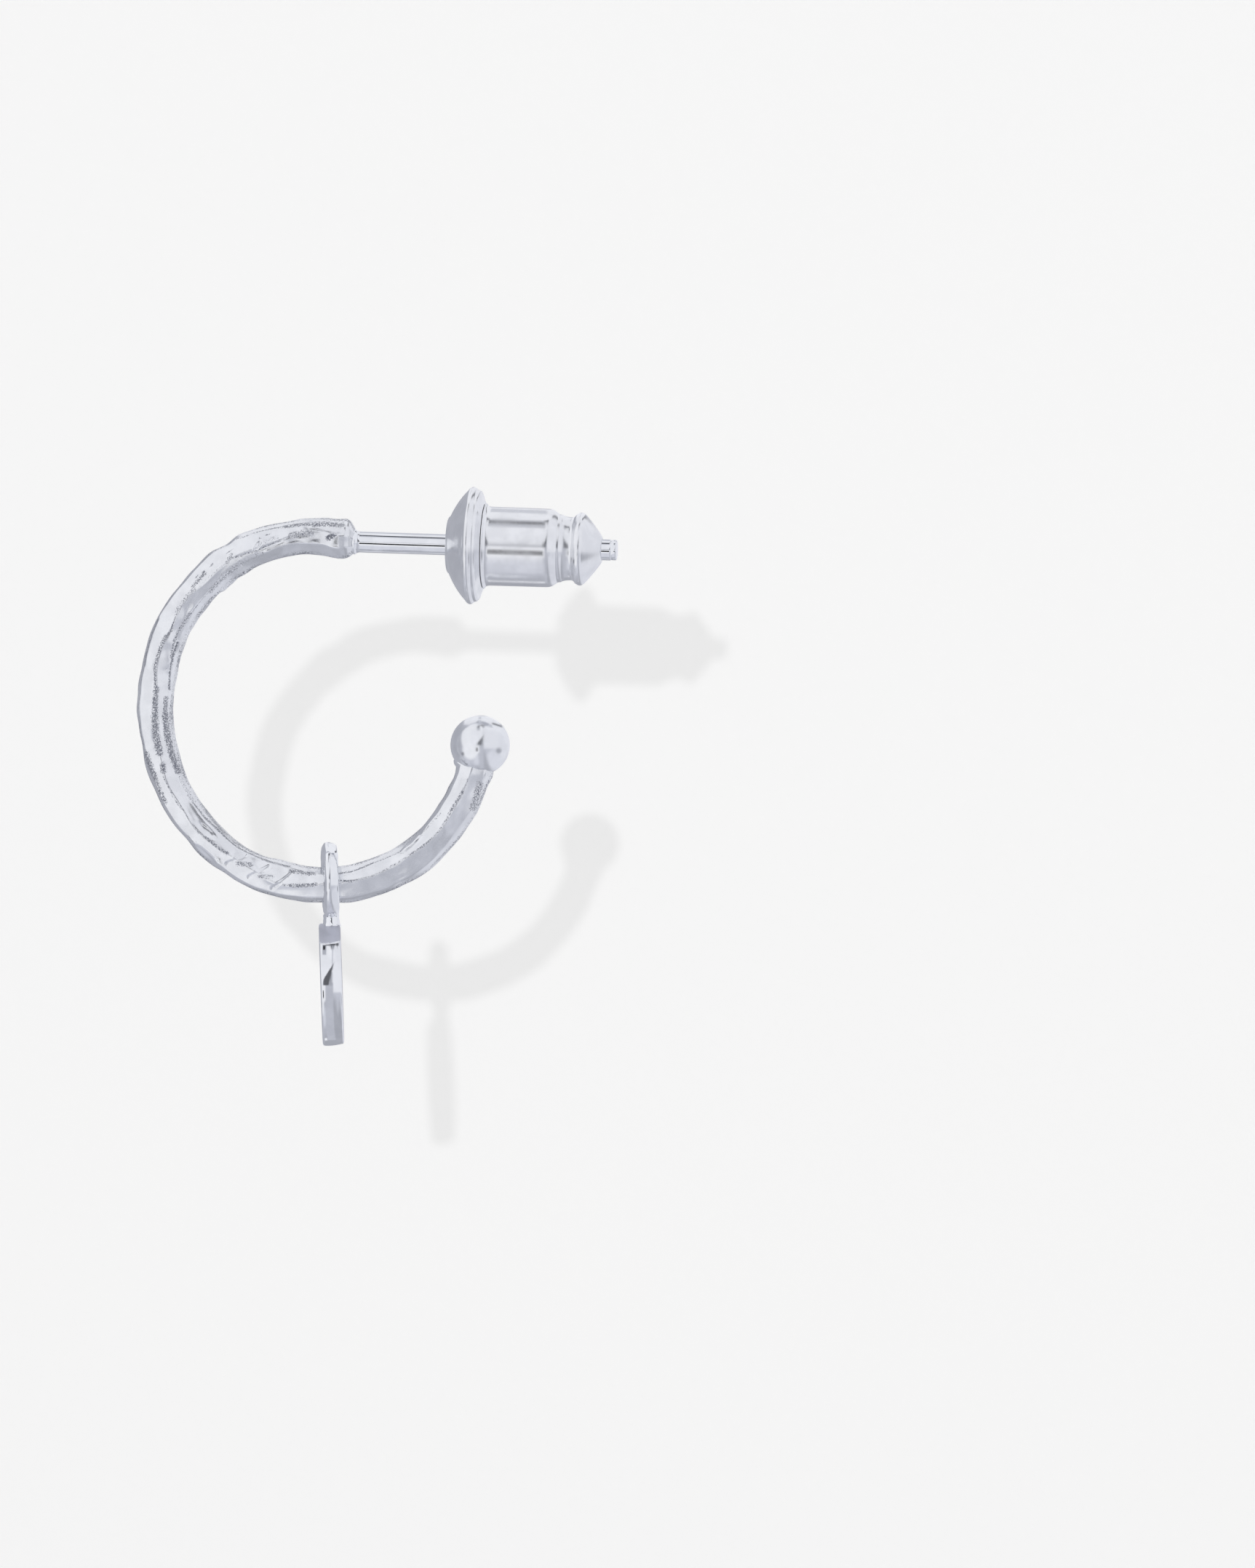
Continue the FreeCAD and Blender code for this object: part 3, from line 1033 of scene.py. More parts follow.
    def _worked(
        self, turn: np.ndarray, run: np.ndarray, out: np.ndarray, face: np.ndarray
    ) -> tuple[np.ndarray, np.ndarray]:
        """What the strokes and dents do to one face of the wire.

        Args:
            turn: Degrees round the hoop, for each vertex.
            run: Millimetres along the wire.
            out: Millimetres outside the true circle.
            face: How much the vertex belongs to this face.

        Returns:
            How far each vertex is lifted, and its grain.
        """
        lift = np.zeros_like(turn)
        grain = np.zeros_like(turn)
        for stroke in STROKES:
            start = np.array([math.radians(stroke.turn) * self.radius, stroke.out])
            end = np.array([math.radians(stroke.end_turn) * self.radius, stroke.end_out])
            way = end - start
            share = ((run - start[0]) * way[0] + (out - start[1]) * way[1]) / float(way @ way)
            share = np.clip(share, 0, 1)
            gap_run = run - start[0] - share * way[0]
            gap_out = out - start[1] - share * way[1]
            away = np.hypot(gap_run, gap_out) / stroke.half_width
            amount = stroke.strength * face * np.exp(-(away**2))
            if stroke.work is Work.GRAIN:
                grain = np.maximum(grain, stroke.strength * face * smooth_step(1.9, 0.5, away))
                lift -= 0.010 * amount
            elif stroke.work is Work.CREASE:
                grain = np.maximum(grain, 1.15 * amount)
                lift -= 0.65 * stroke.half_width * amount
            else:
                grain = np.maximum(grain, 0.30 * amount)
                edge = np.exp(-((away - 1.5) ** 2) * 4)
                lift -= 0.75 * stroke.half_width * amount
                lift += 0.20 * stroke.half_width * stroke.strength * face * edge
        for dent in DENTS:
            lean = math.radians(dent.lean)
            gap_run = run - math.radians(dent.turn) * self.radius
            gap_out = out - dent.out
            long_way = gap_run * math.cos(lean) + gap_out * math.sin(lean)
            short_way = gap_out * math.cos(lean) - gap_run * math.sin(lean)
            away = np.hypot(long_way / dent.half_length, short_way / dent.half_width)
            bowl = smooth_step(1.15, 0.45, away)
            rim = np.exp(-((away - 1.15) ** 2) * 18)
            lift += face * dent.depth * (0.22 * rim - bowl)
            grain = np.maximum(grain, face * 0.35 * rim * min(1.0, abs(dent.depth) / 0.05))
        return lift, grain

    def _blows(self, turn: np.ndarray, girth: np.ndarray) -> np.ndarray:
        """The flats left by the hammer's domed face, in rows round the wire.

        Args:
            turn: Degrees round the hoop, for each vertex.
            girth: Share round the section, for each vertex.

        Returns:
            How far the blows lift each vertex, which is never above 0.
        """
        chance = np.random.default_rng(11)
        lift = np.zeros_like(turn)
        for place in np.arange(94.0, 338.0, 4.4):
            for _ in range(4):
                middle = place + chance.uniform(-2.4, 2.4)
                gap = (girth - chance.uniform(0, 1) + 0.5) % 1.0 - 0.5
                depth = chance.uniform(0.006, 0.020)
                along = np.radians(turn - middle) * self.radius
                away = np.hypot(along / self.blow_reach, gap / self.blow_girth)
                lift -= depth * smooth_step(1.0, 0.35, away)
        return lift

    @staticmethod
    def _ripple(run: np.ndarray, girth: np.ndarray) -> np.ndarray:
        """Faint unevenness all over, from many slow waves.

        Args:
            run: Millimetres along the wire, for each vertex.
            girth: Share round the section, for each vertex.

        Returns:
            How far each vertex is lifted.
        """
        chance = np.random.default_rng(5)
        lift = np.zeros_like(run)
        for _ in range(14):
            pace = chance.uniform(1.5, 7.0)
            rounds = chance.integers(0, 5)
            phase = chance.uniform(0, 2 * math.pi)
            lift += 0.0022 * np.sin(pace * run + 2 * math.pi * rounds * girth + phase)
        return lift


@dataclass
class Hoop:
    """The hoop: its wire and solder block, the ball at its end and the ear post.

    Args:
        finish: The hammered silver of the wire.
        satin: The softly polished silver of the ball.
        polish: The polished silver of the post.
        ball_radius: The ball's radius.
        ball_centre: The ball's centre in X and Z.
        seam_direction: Where the ball's solder seam lies, as a direction in X and Z.
        seam_distance: How far the seam's plane is from the ball's centre.
        post_radius: The ear post's radius.
        post_root_x: Where the post starts, inside the solder block.
        post_notch_x: Where the notch near its tip is.
        post_tip_x: Its tip.
        sides: Sides of the turned pieces.
    """

    finish: Material
    satin: Material
    polish: Material
    ball_radius: float = 1.29
    ball_centre: tuple[float, float] = (3.72, -8.64)
    seam_direction: tuple[float, float] = (-0.466, -0.885)
    seam_distance: float = 1.075
    post_radius: float = 0.455
    post_root_x: float = -2.35
    post_notch_x: float = 9.12
    post_tip_x: float = 9.39
    sides: int = 128

    def build(self) -> None:
        """Makes the hoop's pieces and hangs them on its body."""
        wire = HammeredWire()
        tube = wire.build()
        wire.hammer(tube)
        tube.deliver(Body.HOOP, Slot.HAMMERED, "hoop", self.finish)
        self._ball().deliver(Body.HOOP, Slot.POLISHED, "hoop", self.satin)
        self._post().deliver(Body.HOOP, Slot.POLISHED, "hoop", self.polish)

    def _ball(self) -> Bench:
        """The end ball, turned with its solder seam and collar, then set on the wire.

        Returns:
            The bench with the ball on it.
        """
        seam_angle = math.acos(self.seam_distance / self.ball_radius)
        size = self.ball_radius
        corners = [
            Corner(-size * math.cos(angle), size * math.sin(angle), 0.0)
            for angle in np.linspace(math.radians(1.5), math.pi - seam_angle, 40)
        ]
        seam_x, seam_radius = corners[-1].x, corners[-1].radius
        corners += [
            Corner(seam_x + 0.015, seam_radius - 0.045, 0.01),
            Corner(seam_x + 0.050, seam_radius - 0.030, 0.02),
            Corner(seam_x + 0.20, seam_radius - 0.14, 0.03, 0.01),
            Corner(seam_x + 0.30, seam_radius - 0.35, 0.03),
        ]
        bench = turned("hoop_ball", self.sides, corners)
        seam = Vector((self.seam_direction[0], 0, self.seam_direction[1])).normalized()
        turn = Vector((1, 0, 0)).rotation_difference(seam).to_matrix().to_4x4()
        place = Matrix.Translation((self.ball_centre[0], 0, self.ball_centre[1]))
        bench.move(place @ turn)
        return bench

    def _post(self) -> Bench:
        """The straight ear post, with its notch and rounded tip.

        Returns:
            The bench with the post on it.
        """
        notch = 0.03
        tip_round = 0.10
        tip_radius = self.post_radius - notch
        corners = [
            Corner(self.post_root_x, self.post_radius),
            Corner(-2.04, self.post_radius + 0.10, 0.03),
            Corner(-1.86, self.post_radius, 0.08, -0.02),
            Corner(self.post_notch_x, self.post_radius, 0.02),
            Corner(self.post_notch_x + notch, tip_radius, 0.02),
            Corner(self.post_notch_x + 2 * notch, tip_radius + notch / 2, 0.02),
            Corner(self.post_tip_x - tip_round, tip_radius + notch / 2, 0.03),
            Corner(self.post_tip_x, tip_radius - tip_round / 2, 0.03, 0.03),
            Corner(self.post_tip_x, 0.02, 0.0),
        ]
        return turned("ear_post", self.sides, corners)


# The charm


@dataclass
class Charm:
    """The charm: a coin disc hanging edge-on from a bail ring soldered to its rim.

    Args:
        finish: The polished silver it is made of.
        filed_shaded: The matt silver of the filed flats, with a darker lavender tone as painted
            reflection.
        bail: The bail ring's centre in X and Z.
        ring_radius: Radius of the ring's middle line.
        ring_wire: Radius of its wire.
        ring_width: Width of the wire between its hammered sides.
        ring_spread: How much wider the hammering has made it along the ring's own axis.
        ring_twist: How far those sides are twisted from the ring's plane, in degrees.
        ring_yaw: How far the ring is turned about the vertical, in degrees.
        disc_radius: The disc's radius.
        disc_thickness: Its thickness.
        disc_drop: How far its middle is below the bail's centre.
        disc_shift: How far it stands to the side.
        disc_yaw: How far it is turned about the vertical, in degrees.
        flat_angle: How steeply the flats filed beside the bail face upwards, in degrees.
        flat_end: How far up the rim the flats end, in degrees.
        lean: How far the charm leans in the hoop's plane, in degrees.
        sides: Sides of the disc.
        solder_sides: Sides of the solder.
        ring_sides: Vertices round the ring's wire.
        ring_steps: Sections round the ring.
    """

    finish: Material
    filed_shaded: Material
    bail: tuple[float, float] = (-2.63, -14.73)
    ring_radius: float = 1.38
    ring_wire: float = 0.29
    ring_width: float = 0.52
    ring_spread: float = 1.22
    ring_twist: float = 22.0
    ring_yaw: float = 9.2
    disc_radius: float = 2.68
    disc_thickness: float = 0.93
    disc_drop: float = 4.52
    disc_shift: float = -0.09
    disc_yaw: float = 7.1
    flat_angle: float = 66.0
    flat_end: float = 42.0
    lean: float = 4.0
    sides: int = 224
    solder_sides: int = 64
    ring_sides: int = 40
    ring_steps: int = 216

    def build(self) -> None:
        """Makes the charm's pieces and hangs them on its body."""
        lean = Matrix.Rotation(math.radians(-self.lean), 4, "Y")
        hung = Matrix.Translation((self.bail[0], 0, self.bail[1])) @ lean
        for bench in (self._ring(), self._solder()):
            bench.move(hung)
            bench.deliver(Body.CHARM, Slot.POLISHED, "charm", self.finish)
        disc = self._disc()
        disc.move(hung)
        disc.deliver(Body.CHARM, Slot.POLISHED, "charm", self.finish, self.filed_shaded)

    def _ring(self) -> Bench:
        """The bail ring: a wire flattened a little by its bending, spun round.

        Returns:
            The bench with the ring on it, about its own middle.
        """
        bench = Bench("bail_ring", self.ring_sides, self.ring_wire, 0.0, self.ring_radius)
        bpy.ops.mesh.spin(
            steps=self.ring_steps,
            angle=2 * math.pi,
            center=(0, 0, 0),
            axis=(0, 1, 0),
            use_auto_merge=True,
        )
        bench.close()
        points = bench.points()
        around = np.arctan2(points[:, 2], points[:, 0])
        reach = np.hypot(points[:, 0], points[:, 2]) - self.ring_radius
        girth = np.arctan2(points[:, 1], reach)
        twisted = girth + math.radians(self.ring_twist)
        power = 3
        sides = np.abs(np.cos(twisted)) ** power + np.abs(np.sin(twisted)) ** power
        square = sides ** (-1 / power)
        sway = 1 + 0.014 * np.sin(7 * around + 1.5 * np.sin(girth)) + 0.009 * np.sin(17 * around)
        square = square * sway * self.ring_width / (2 * self.ring_wire)
        far = self.ring_radius + reach * square
        y = points[:, 1] * square * self.ring_spread
        bench.place_points(np.stack([far * np.cos(around), y, far * np.sin(around)], axis=1))
        bench.move(Matrix.Rotation(math.radians(90 + self.ring_yaw), 4, "Z"))
        return bench

    def _solder(self) -> Bench:
        """The solder between the ring and the disc's rim.

        Returns:
            The bench with the solder on it.
        """
        corners = [
            Corner(1.42, 0.27),
            Corner(1.54, 0.36, 0.04, 0.01),
            Corner(1.74, 0.36, 0.05, -0.015),
            Corner(2.00, 0.42, 0.03, -0.02),
        ]
        bench = turned("bail_solder", self.solder_sides, corners)
        bench.move(Matrix.Rotation(math.radians(90), 4, "Y"))
        return bench

    def _disc(self) -> Bench:
        """The coin disc, turned with soft rims, then filed flat on its edge beside the bail.

        Returns:
            The bench with the disc on it, hanging below the bail's centre.
        """
        half = self.disc_thickness / 2
        edge = self.disc_radius
        corners = [
            Corner(-half, 0.03, 0.0),
            Corner(-half, 1.30, 0.0),
            Corner(-half, edge - 0.10, 0.06),
            Corner(-half + 0.12, edge - 0.018, 0.05, 0.025),
            Corner(half - 0.12, edge - 0.075, 0.05, 0.027),
            Corner(half, edge - 0.14, 0.06, 0.025),
            Corner(half, 1.30, 0.0),
            Corner(half, 0.03, 0.0),
        ]
        bench = turned("coin_disc", self.sides, corners)
        points = bench.points()
        steep = math.radians(self.flat_angle)
        level = math.cos(math.radians(90 - self.flat_end) / 2) * edge
        stand = np.abs(points[:, 1]) * math.cos(steep) + points[:, 2] * math.sin(steep)
        over = np.maximum(stand - level, 0) * (points[:, 2] > 0)
        points[:, 1] -= np.sign(points[:, 1]) * over * math.cos(steep)
        points[:, 2] -= over * math.sin(steep)
        bench.place_points(points)
        # The filed flats take the second material, whose darker lavender tone is painted
        # reflection.
        for face in bench.obj.data.polygons:
            face.material_index = int(all(over[i] > 0 for i in face.vertices))
        yaw = Matrix.Rotation(math.radians(self.disc_yaw), 4, "Z")
        bench.move(yaw @ Matrix.Translation((self.disc_shift, 0, -self.disc_drop)))
        return bench


# The clutch


@dataclass
class Clutch:
    """The clutch: a barrel with a wide comfort disc swaged on its front.

    Args:
        finish: The plated metal it is made of.
        bore: Radius of the hole for the post.
        spigot_radius: Radius of the barrel's spigot.
        spigot_length: How far the spigot reaches into the disc.
        gap: Room between the two pieces.
        nose_x: The disc's front.
        barrel_x: The barrel's front.
        end_x: The barrel's end.
        sides: Sides of the turned pieces.
    """

    finish: Material
    bore: float = 0.49
    spigot_radius: float = 0.90
    spigot_length: float = 0.50
    gap: float = 0.02
    nose_x: float = 2.01
    barrel_x: float = 3.62
    end_x: float = 8.73
    sides: int = 192

    def build(self) -> None:
        """Makes the clutch's pieces and hangs them on its body."""
        disc = turned("comfort_disc", self.sides, self._disc_corners(), bored=True)
        disc.deliver(Body.CLUTCH, Slot.CLUTCH, "clutch_disc", self.finish)
        barrel = turned("clutch_barrel_dressed", self.sides, self._barrel_corners(), bored=True)
        barrel.deliver(Body.CLUTCH, Slot.CLUTCH, "clutch_barrel", self.finish)

    def _disc_corners(self) -> list[Corner]:
        """Outline of the comfort disc: domed front, two beads at the rim, hollow back.

        Returns:
            Its corners, from the edge of the bore at the front.
        """
        back = self.barrel_x - self.gap
        recess = self.spigot_radius + self.gap
        floor = self.barrel_x - self.spigot_length - self.gap
        return [
            Corner(self.nose_x, self.bore + 0.03, 0.02),
            Corner(self.nose_x, 1.12, 0.03),
            Corner(self.nose_x + 0.10, 1.26, 0.05, 0.02),
            Corner(2.74, 2.27, 0.12, 0.045),
            Corner(2.86, 2.39, 0.02, 0.0),
            Corner(3.25, 2.43, 0.015, 0.135),
            Corner(3.45, 2.26, 0.02, 0.055),
            Corner(3.57, 1.95, 0.04, -0.01),
            Corner(back, 1.88, 0.02),
            Corner(back, recess, 0.02),
            Corner(floor, recess, 0.02),
            Corner(floor, self.bore, 0.02),
            Corner(self.nose_x + 0.04, self.bore, 0.02),
        ]

    def _barrel_corners(self) -> list[Corner]:
        """Outline of the barrel: soft front edge, end groove, ring and cone.

        Returns:
            Its corners, from the bore at the front of the spigot.
        """
        spigot_front = self.barrel_x - self.spigot_length
        return [
            Corner(spigot_front, self.bore, 0.02),
            Corner(spigot_front, self.spigot_radius, 0.03),
            Corner(self.barrel_x, self.spigot_radius, 0.02),
            Corner(self.barrel_x, 1.85, 0.02),
            Corner(3.67, 1.84, 0.03, 0.01),
            Corner(3.86, 1.71, 0.10, -0.035),
            Corner(6.36, 1.70, 0.10),
            Corner(6.72, 1.58, 0.06, 0.03),
            Corner(6.86, 1.47, 0.05, 0.0),
            Corner(7.06, 1.42, 0.04, 0.02),
            Corner(7.34, 1.37, 0.08, -0.01),
            Corner(7.58, 1.46, 0.04, -0.04),
            Corner(7.66, 1.53, 0.03, 0.01),
            Corner(7.97, 1.52, 0.03, 0.055),
            Corner(self.end_x - 0.03, 0.61, 0.03, 0.02),
            Corner(self.end_x, 0.56, 0.02),
            Corner(self.end_x, self.bore + 0.02, 0.015),
            Corner(self.end_x - 0.03, self.bore, 0.015),
        ]


# The studio


# What clean silver gives back of the light
SILVER_SHARE = 0.915


def plain_light(level: float) -> float:
    """Light of a neutral grey, from its level on a screen, 0 to 255."""
    return ((level / 255 + 0.055) / 1.055) ** 2.4


def grey(light: float) -> tuple[float, float, float, float]:
    """A neutral colour with full cover."""
    return (light, light, light, 1.0)


def cool_light(level: float) -> tuple[float, float, float, float]:
    """Light of a cool tone, brightened by what silver swallows, and bluer where it is darker.

    Args:
        level: Its level on a screen, 0 to 255.

    Returns:
        The colour with full cover.
    """
    light = plain_light(level) / SILVER_SHARE
    dusk = min(1.0, (1 - level / 255) / 0.2)
    return (light * (1 - 0.025 * dusk), light, light * (1 + 0.11 * dusk), 1.0)


@dataclass(frozen=True)
class Panel:
    """A soft-edged panel of the studio, as a polished ball shows it.

    Places are shares of the ball's radius, rightwards and upwards from its middle.

    Args:
        level: Its tone on a screen, 0 to 255.
        middle: Place of its middle.
        half_size: Half its width and height.
        lean: How far it is turned, in degrees anticlockwise.
        soft: Width of its edge.
        oval: True for an oval, false for a rectangle.
    """

    level: float
    middle: tuple[float, float]
    half_size: tuple[float, float]
    lean: float = 0.0
    soft: float = 0.05
    oval: bool = False


PANELS = (
    # Below the camera's height: the pale table, darker towards its near edge
    Panel(212, (-0.12, -0.42), (0.08, 0.25), 0, 0.10),
    Panel(216, (0.52, -0.50), (0.34, 0.40), -25, 0.15, True),
    Panel(170, (0.16, -0.58), (0.11, 0.38), 18, 0.12),
    Panel(232, (-0.08, -0.885), (0.05, 0.020), 0, 0.02),
    Panel(165, (-0.07, -0.935), (0.05, 0.014), 0, 0.02),
    # The two front soft boxes
    Panel(237, (-0.20, 0.22), (0.43, 0.52), 0, 0.05, True),
    Panel(237, (-0.33, -0.18), (0.25, 0.30), 0, 0.10, True),
    Panel(232, (-0.10, 0.26), (0.20, 0.24), 0, 0.04),
    Panel(229, (0.50, 0.28), (0.40, 0.40), 0, 0.05),
    Panel(224, (0.80, 0.05), (0.16, 0.55), 0, 0.08, True),
    Panel(188, (0.055, -0.43), (0.075, 0.47), 0, 0.03),
    Panel(165, (0.085, 0.10), (0.030, 0.11), 0, 0.05),
    # Overhead and the back wall
    Panel(178, (-0.055, 0.580), (0.045, 0.090), 0, 0.03),
    Panel(233, (0.05, 0.83), (0.60, 0.15), 0, 0.04),
    # The dark gaps between them
    Panel(110, (0.56, 0.685), (0.17, 0.028), -17, 0.03),
    Panel(120, (0.11, 0.64), (0.035, 0.06), 0, 0.04, True),
    Panel(185, (0.115, 0.45), (0.008, 0.20), 0, 0.02),
    Panel(190, (-0.02, 0.905), (0.035, 0.045), 0, 0.02),
    Panel(105, (0.07, 0.665), (0.10, 0.025), 0, 0.02),
    Panel(25, (-0.056, 0.605), (0.025, 0.036), 0, 0.02),
    Panel(25, (-0.10, -0.150), (0.030, 0.060), 0, 0.02),
    Panel(100, (-0.58, -0.29), (0.045, 0.055), 0, 0.04, True),
    Panel(160, (0.63, -0.19), (0.09, 0.09), 0, 0.08, True),
)


class Dome:
    """The studio's dome, painted as a polished ball shows it from the camera's side."""

    def __init__(self, nodes: Nodes, right: Vector, up: Vector, forward: Vector) -> None:
        """Finds where on the ball each direction of the dome shows.

        Args:
            nodes: The world's nodes.
            right: The camera's direction to the right.
            up: Its upward direction.
            forward: The way that it looks.
        """
        self.nodes = nodes
        place = nodes.add("ShaderNodeTexCoord").outputs["Generated"]
        direction = nodes.vector("NORMALIZE", place).outputs[0]
        halfway = nodes.vector("SUBTRACT", direction, tuple(forward)).outputs[0]
        normal = nodes.vector("NORMALIZE", halfway).outputs[0]
        self.across = nodes.vector("DOT_PRODUCT", normal, tuple(right)).outputs["Value"]
        self.upwards = nodes.vector("DOT_PRODUCT", normal, tuple(up)).outputs["Value"]

    def colour(self) -> Socket:
        """Paints the dome, panel over panel.

        Returns:
            The dome's colour.
        """
        mix, ease = self.nodes.mix, self.nodes.ease
        across, upwards = self.across, self.upwards
        low = mix(ease(upwards, -1.0, -0.55), cool_light(165), cool_light(196))
        side = mix(ease(upwards, -0.10, 0.10), low, cool_light(180))
        colour = mix(ease(across, -0.5, -0.72), side, cool_light(172))
        colour = mix(ease(across, 0.86, 0.96), colour, cool_light(224))
        for panel in PANELS:
            colour = mix(self._shown(panel), colour, cool_light(panel.level))
        dark = mix(ease(across, -0.11, -0.04), cool_light(180), cool_light(95))
        return mix(self._wedge(), colour, dark)

    def _shown(self, panel: Panel) -> Socket:
        """How much of a panel shows.

        Args:
            panel: The panel.

        Returns:
            From 0 to 1.
        """
        math_of, ease = self.nodes.math, self.nodes.ease
        lean = math.radians(panel.lean)
        right = math_of("SUBTRACT", self.across, panel.middle[0])
        up = math_of("SUBTRACT", self.upwards, panel.middle[1])
        along = math_of("MULTIPLY", up, math.sin(lean))
        along = math_of("MULTIPLY_ADD", right, math.cos(lean), along)
        over = math_of("MULTIPLY", right, -math.sin(lean))
        over = math_of("MULTIPLY_ADD", up, math.cos(lean), over)
        if panel.oval:
            wide, high = (
                math_of("POWER", math_of("DIVIDE", way, half), 2.0)
                for way, half in zip((along, over), panel.half_size)
            )
            away = math_of("SQRT", math_of("ADD", wide, high))
            edge = panel.soft / min(panel.half_size) / 2
            return ease(away, 1 + edge, 1 - edge)
        soft = panel.soft / 2
        wide, high = (
            ease(math_of("ABSOLUTE", way), half + soft, half - soft)
            for way, half in zip((along, over), panel.half_size)
        )
        return math_of("MULTIPLY", wide, high)

    def _wedge(self) -> Socket:
        """The dark wedge between the soft boxes, where the camera stands.

        Returns:
            How much of it shows, from 0 to 1.
        """
        math_of, ease = self.nodes.math, self.nodes.ease
        across, upwards = self.across, self.upwards
        left = ease(math_of("MULTIPLY_ADD", across, -1.32, upwards), 0.19, 0.155)
        right = ease(math_of("MULTIPLY_ADD", across, -3.7, upwards), -0.24, -0.09)
        bottom = ease(upwards, -0.015, 0.005)
        return math_of("MULTIPLY", math_of("MULTIPLY", left, right), bottom)


@dataclass
class Studio:
    """Pale wall and floor, soft light from a painted dome, a small key lamp and the camera.

    Args:
        pixels_per_mm: Scale of the photograph.
        origin_pixel: Where the part's origin is in the photograph.
        frame_pixels: The photograph's width and height.
        roll: How far the photograph turns the part clockwise, in degrees.
        azimuth: The camera's place round the part, in degrees.
        distance: From the camera to the part's plane.
        sensor: The camera's long sensor side.
        wall_y: How far the wall stands behind the part.
        floor_z: The floor's height.
        backdrop_level: The backdrop's tone on a screen, in the light.
        shadow_level: Its tone in the key lamp's shadow.
        shadow_shift: How far the shadow falls right and down, in millimetres.
        shadow_blur: Width of the shadow's soft edge.
        floor_bounce: What the wall's light gains from the floor.
        paper_tone: How much light the paper of the wall and floor gives back.
        sheet_size: The paper's width, twice the wall's height.
    """

    pixels_per_mm: float = 31.67
    origin_pixel: tuple[float, float] = (552.5, 747.0)
    frame_pixels: tuple[float, float] = (1725.0, 2156.0)
    roll: float = 2.0
    azimuth: float = 5.5
    distance: float = 379.0
    sensor: float = 36.0
    wall_y: float = 100.0
    floor_z: float = -80.0
    backdrop_level: float = 246.0
    shadow_level: float = 234.0
    shadow_shift: tuple[float, float] = (4.75, 4.27)
    shadow_blur: float = 0.76
    floor_bounce: float = 0.041
    paper_tone: float = 0.8
    sheet_size: float = 2400.0

    def build(self) -> None:
        """Makes the studio."""
        self._world()
        self._backdrop()
        rig = self._camera()
        self._key_lamp(rig)
        log.info("studio: wall, floor, dome of %d panels, key lamp and camera", len(PANELS))

    def _axes(self) -> tuple[Vector, Vector, Vector]:
        """The camera's right, up and forward directions.

        Returns:
            The three directions, each of length 1.
        """
        turn = math.radians(self.azimuth)
        lean = math.radians(self.roll)
        level = Vector((math.cos(turn), math.sin(turn), 0))
        forward = Vector((-math.sin(turn), math.cos(turn), 0))
        right = level * math.cos(lean) + Vector((0, 0, 1)) * math.sin(lean)
        up = Vector((0, 0, 1)) * math.cos(lean) - level * math.sin(lean)
        return right, up, forward

    def _camera(self) -> Vector:
        """The camera at the photograph's viewing angle.

        Returns:
            The camera's place in millimetres.
        """
        right, up, forward = self._axes()
        across = (self.frame_pixels[0] / 2 - self.origin_pixel[0]) / self.pixels_per_mm
        down = (self.frame_pixels[1] / 2 - self.origin_pixel[1]) / self.pixels_per_mm
        place = right * across - up * down - forward * self.distance
        data = bpy.data.cameras.new("camera")
        data.sensor_width = self.sensor
        data.lens = self.sensor * self.distance * self.pixels_per_mm / self.frame_pixels[1]
        data.clip_start = 0.01
        data.clip_end = 10.0
        camera = bpy.data.objects.new("camera", data)
        bpy.context.scene.collection.objects.link(camera)
        turned = Matrix((right, up, -forward)).transposed().to_4x4()
        camera.matrix_world = Matrix.Translation(place * MM) @ turned
        bpy.context.scene.camera = camera
        return place

    def _key_lamp(self, camera_place: Vector) -> None:
        """A small lamp beside the camera, which throws the soft shadow on the wall.

        Args:
            camera_place: The camera's place in millimetres.
        """
        right, up, _forward = self._axes()
        share = (self.distance + self.wall_y) / self.wall_y
        offset = up * self.shadow_shift[1] - right * self.shadow_shift[0]
        lamp = bpy.data.lights.new("key_lamp", "POINT")
        lamp.shadow_soft_size = self.shadow_blur * self.distance / self.wall_y / 2 * MM
        lit = plain_light(self.backdrop_level) - plain_light(self.shadow_level)
        wall_distance = (self.distance + self.wall_y) * MM
        lamp.energy = lit * 4 * math.pi**2 * wall_distance**2 / self.paper_tone
        lamp_object = bpy.data.objects.new("key_lamp", lamp)
        bpy.context.scene.collection.objects.link(lamp_object)
        lamp_object.location = (camera_place + offset * share) * MM
        lamp_object.visible_glossy = False

    def _backdrop(self) -> None:
        """One pale sheet: a wall behind the part that runs down to a floor."""
        bpy.ops.object.select_all(action="DESELECT")
        half = self.sheet_size / 2
        middle = (0, self.wall_y - half, self.floor_z)
        bpy.ops.mesh.primitive_plane_add(size=self.sheet_size, location=middle)
        sheet = bpy.context.active_object
        sheet.name = "backdrop"
        bpy.ops.object.transform_apply(location=True, rotation=True, scale=True)
        bpy.ops.object.mode_set(mode="EDIT")
        mesh = bmesh.from_edit_mesh(sheet.data)
        for edge in mesh.edges:
            edge.select = all(vertex.co.y > 0 for vertex in edge.verts)
        mesh.select_flush_mode()
        bmesh.update_edit_mesh(sheet.data)
        bpy.ops.mesh.extrude_edges_move(TRANSFORM_OT_translate={"value": (0, 0, half)})
        bpy.ops.mesh.select_all(action="SELECT")
        bpy.ops.mesh.normals_make_consistent(inside=True)
        bpy.ops.object.mode_set(mode="OBJECT")
        if sheet.data.polygons[0].normal.z < 0:
            sheet.data.flip_normals()
        bpy.ops.transform.resize(value=(MM, MM, MM), center_override=(0, 0, 0))
        bpy.ops.object.transform_apply(location=True, rotation=True, scale=True)
        sheet.visible_glossy = False
        sheet.data.materials.append(self._paper())

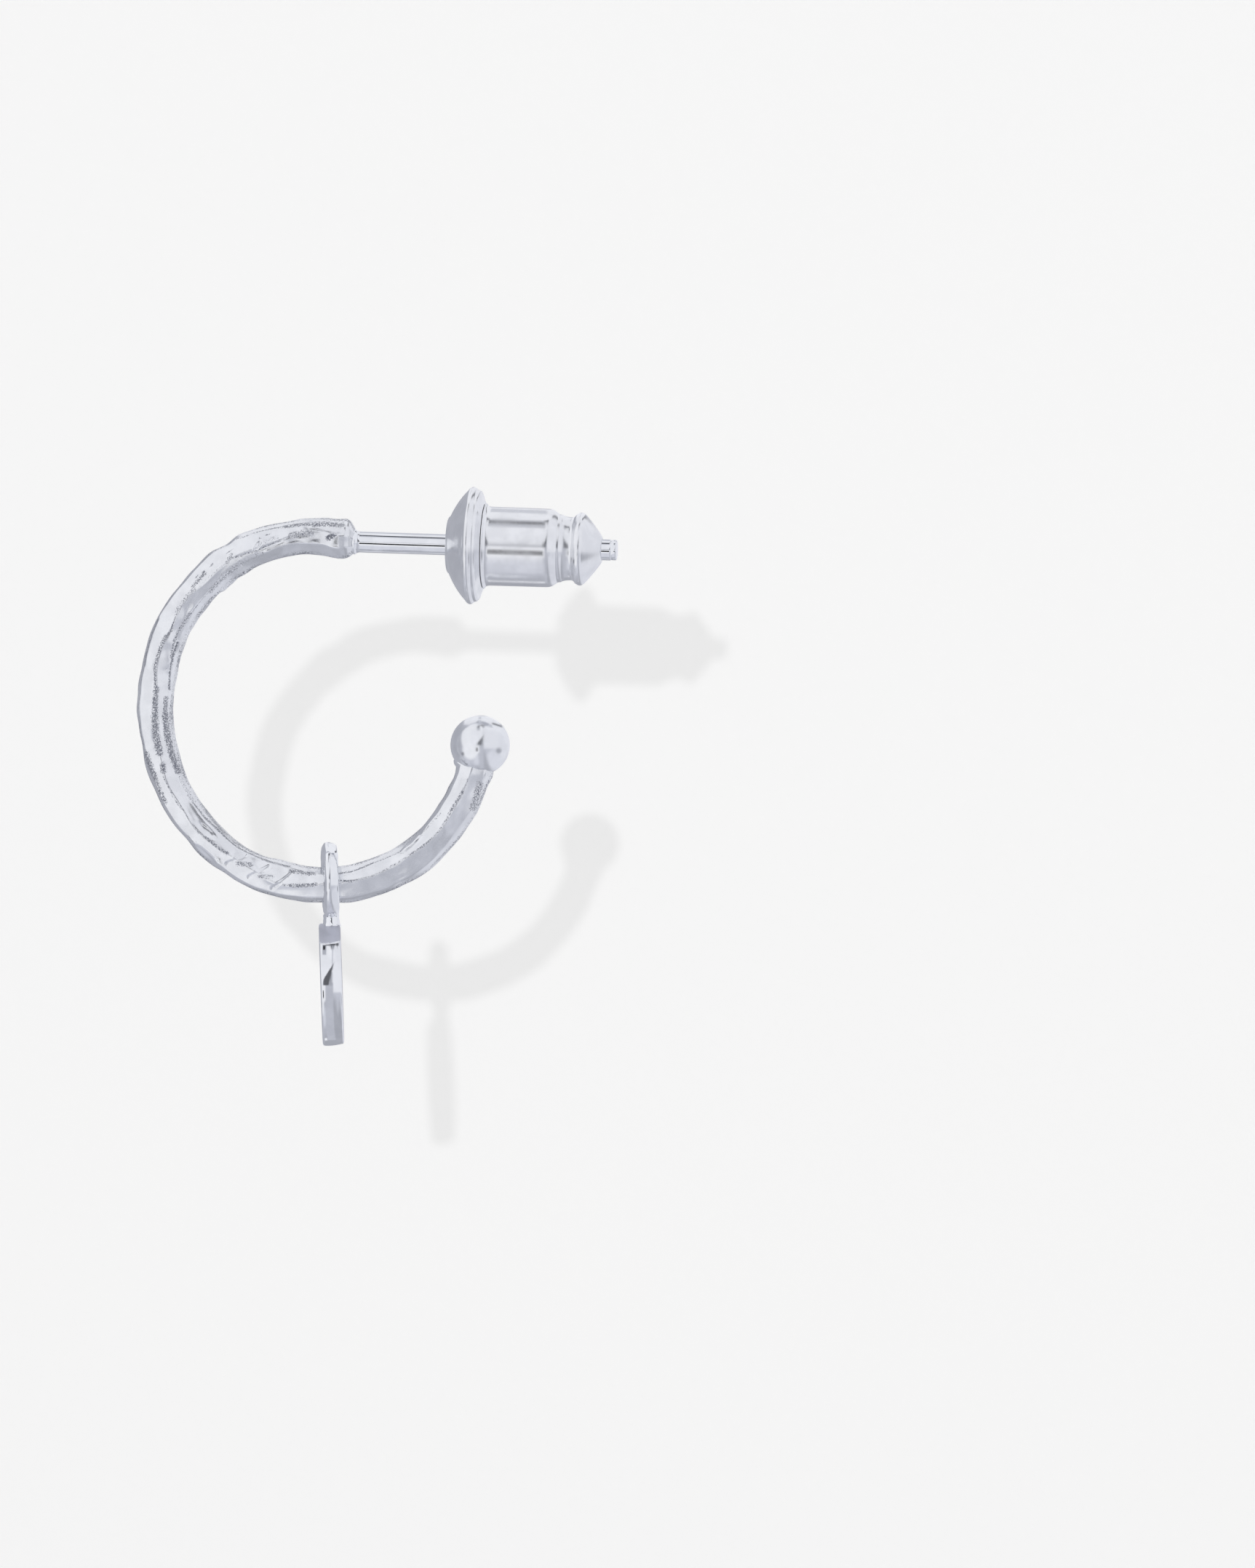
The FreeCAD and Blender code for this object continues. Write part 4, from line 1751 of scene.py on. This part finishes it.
    def _paper(self) -> Material:
        """Pale paper, seen only from its front, that takes the key lamp's shadow.

        Returns:
            The material.
        """
        material = bpy.data.materials.new("pale_paper")
        material.use_nodes = True
        nodes = Nodes(material.node_tree)
        nodes.tree.nodes.clear()
        matt = nodes.add("ShaderNodeBsdfDiffuse", {"Color": grey(self.paper_tone)})
        level = plain_light(self.shadow_level) - self.floor_bounce
        seen = nodes.add("ShaderNodeLightPath").outputs["Is Camera Ray"]
        glow = nodes.add("ShaderNodeEmission", {"Color": grey(level), "Strength": seen})
        both = nodes.add("ShaderNodeAddShader", {0: matt.outputs[0], 1: glow.outputs[0]})
        clear = nodes.add("ShaderNodeBsdfTransparent")
        behind = nodes.add("ShaderNodeNewGeometry").outputs["Backfacing"]
        inputs = {0: behind, 1: both.outputs[0], 2: clear.outputs[0]}
        choice = nodes.add("ShaderNodeMixShader", inputs)
        nodes.add("ShaderNodeOutputMaterial", {"Surface": choice.outputs[0]})
        return material

    def _world(self) -> None:
        """The dome: a plain pale tone to the camera, and the painted panels in reflections."""
        world = bpy.data.worlds.new("studio_dome")
        bpy.context.scene.world = world
        world.use_nodes = True
        world.cycles.sampling_method = "NONE"
        nodes = Nodes(world.node_tree)
        nodes.tree.nodes.clear()
        path = nodes.add("ShaderNodeLightPath").outputs
        colour = Dome(nodes, *self._axes()).colour()
        dome = nodes.add("ShaderNodeBackground", {"Color": colour})
        backdrop = grey(plain_light(self.backdrop_level))
        inputs = {"Color": backdrop, "Strength": path["Is Camera Ray"]}
        plain = nodes.add("ShaderNodeBackground", inputs)
        inputs = {0: path["Is Glossy Ray"], 1: plain.outputs[0], 2: dome.outputs[0]}
        choice = nodes.add("ShaderNodeMixShader", inputs)
        nodes.add("ShaderNodeOutputWorld", {"Surface": choice.outputs[0]})


def main() -> None:
    """Builds the hoop, the charm, the clutch and the studio."""
    logging.basicConfig(level=logging.INFO, format="%(name)s %(message)s")
    bpy.context.scene.view_settings.view_transform = "Standard"
    effects = Effects()
    polished = POLISHED_SILVER.make(effects)
    satin = SATIN_SILVER.make(effects)
    Hoop(HAMMERED_SILVER.make(effects), satin, polished).build()
    Charm(polished, FILED_SHADED_SILVER.make(effects)).build()
    Clutch(CLUTCH_PLATE.make(effects)).build()
    Studio().build()


if __name__ == "__main__":
    main()
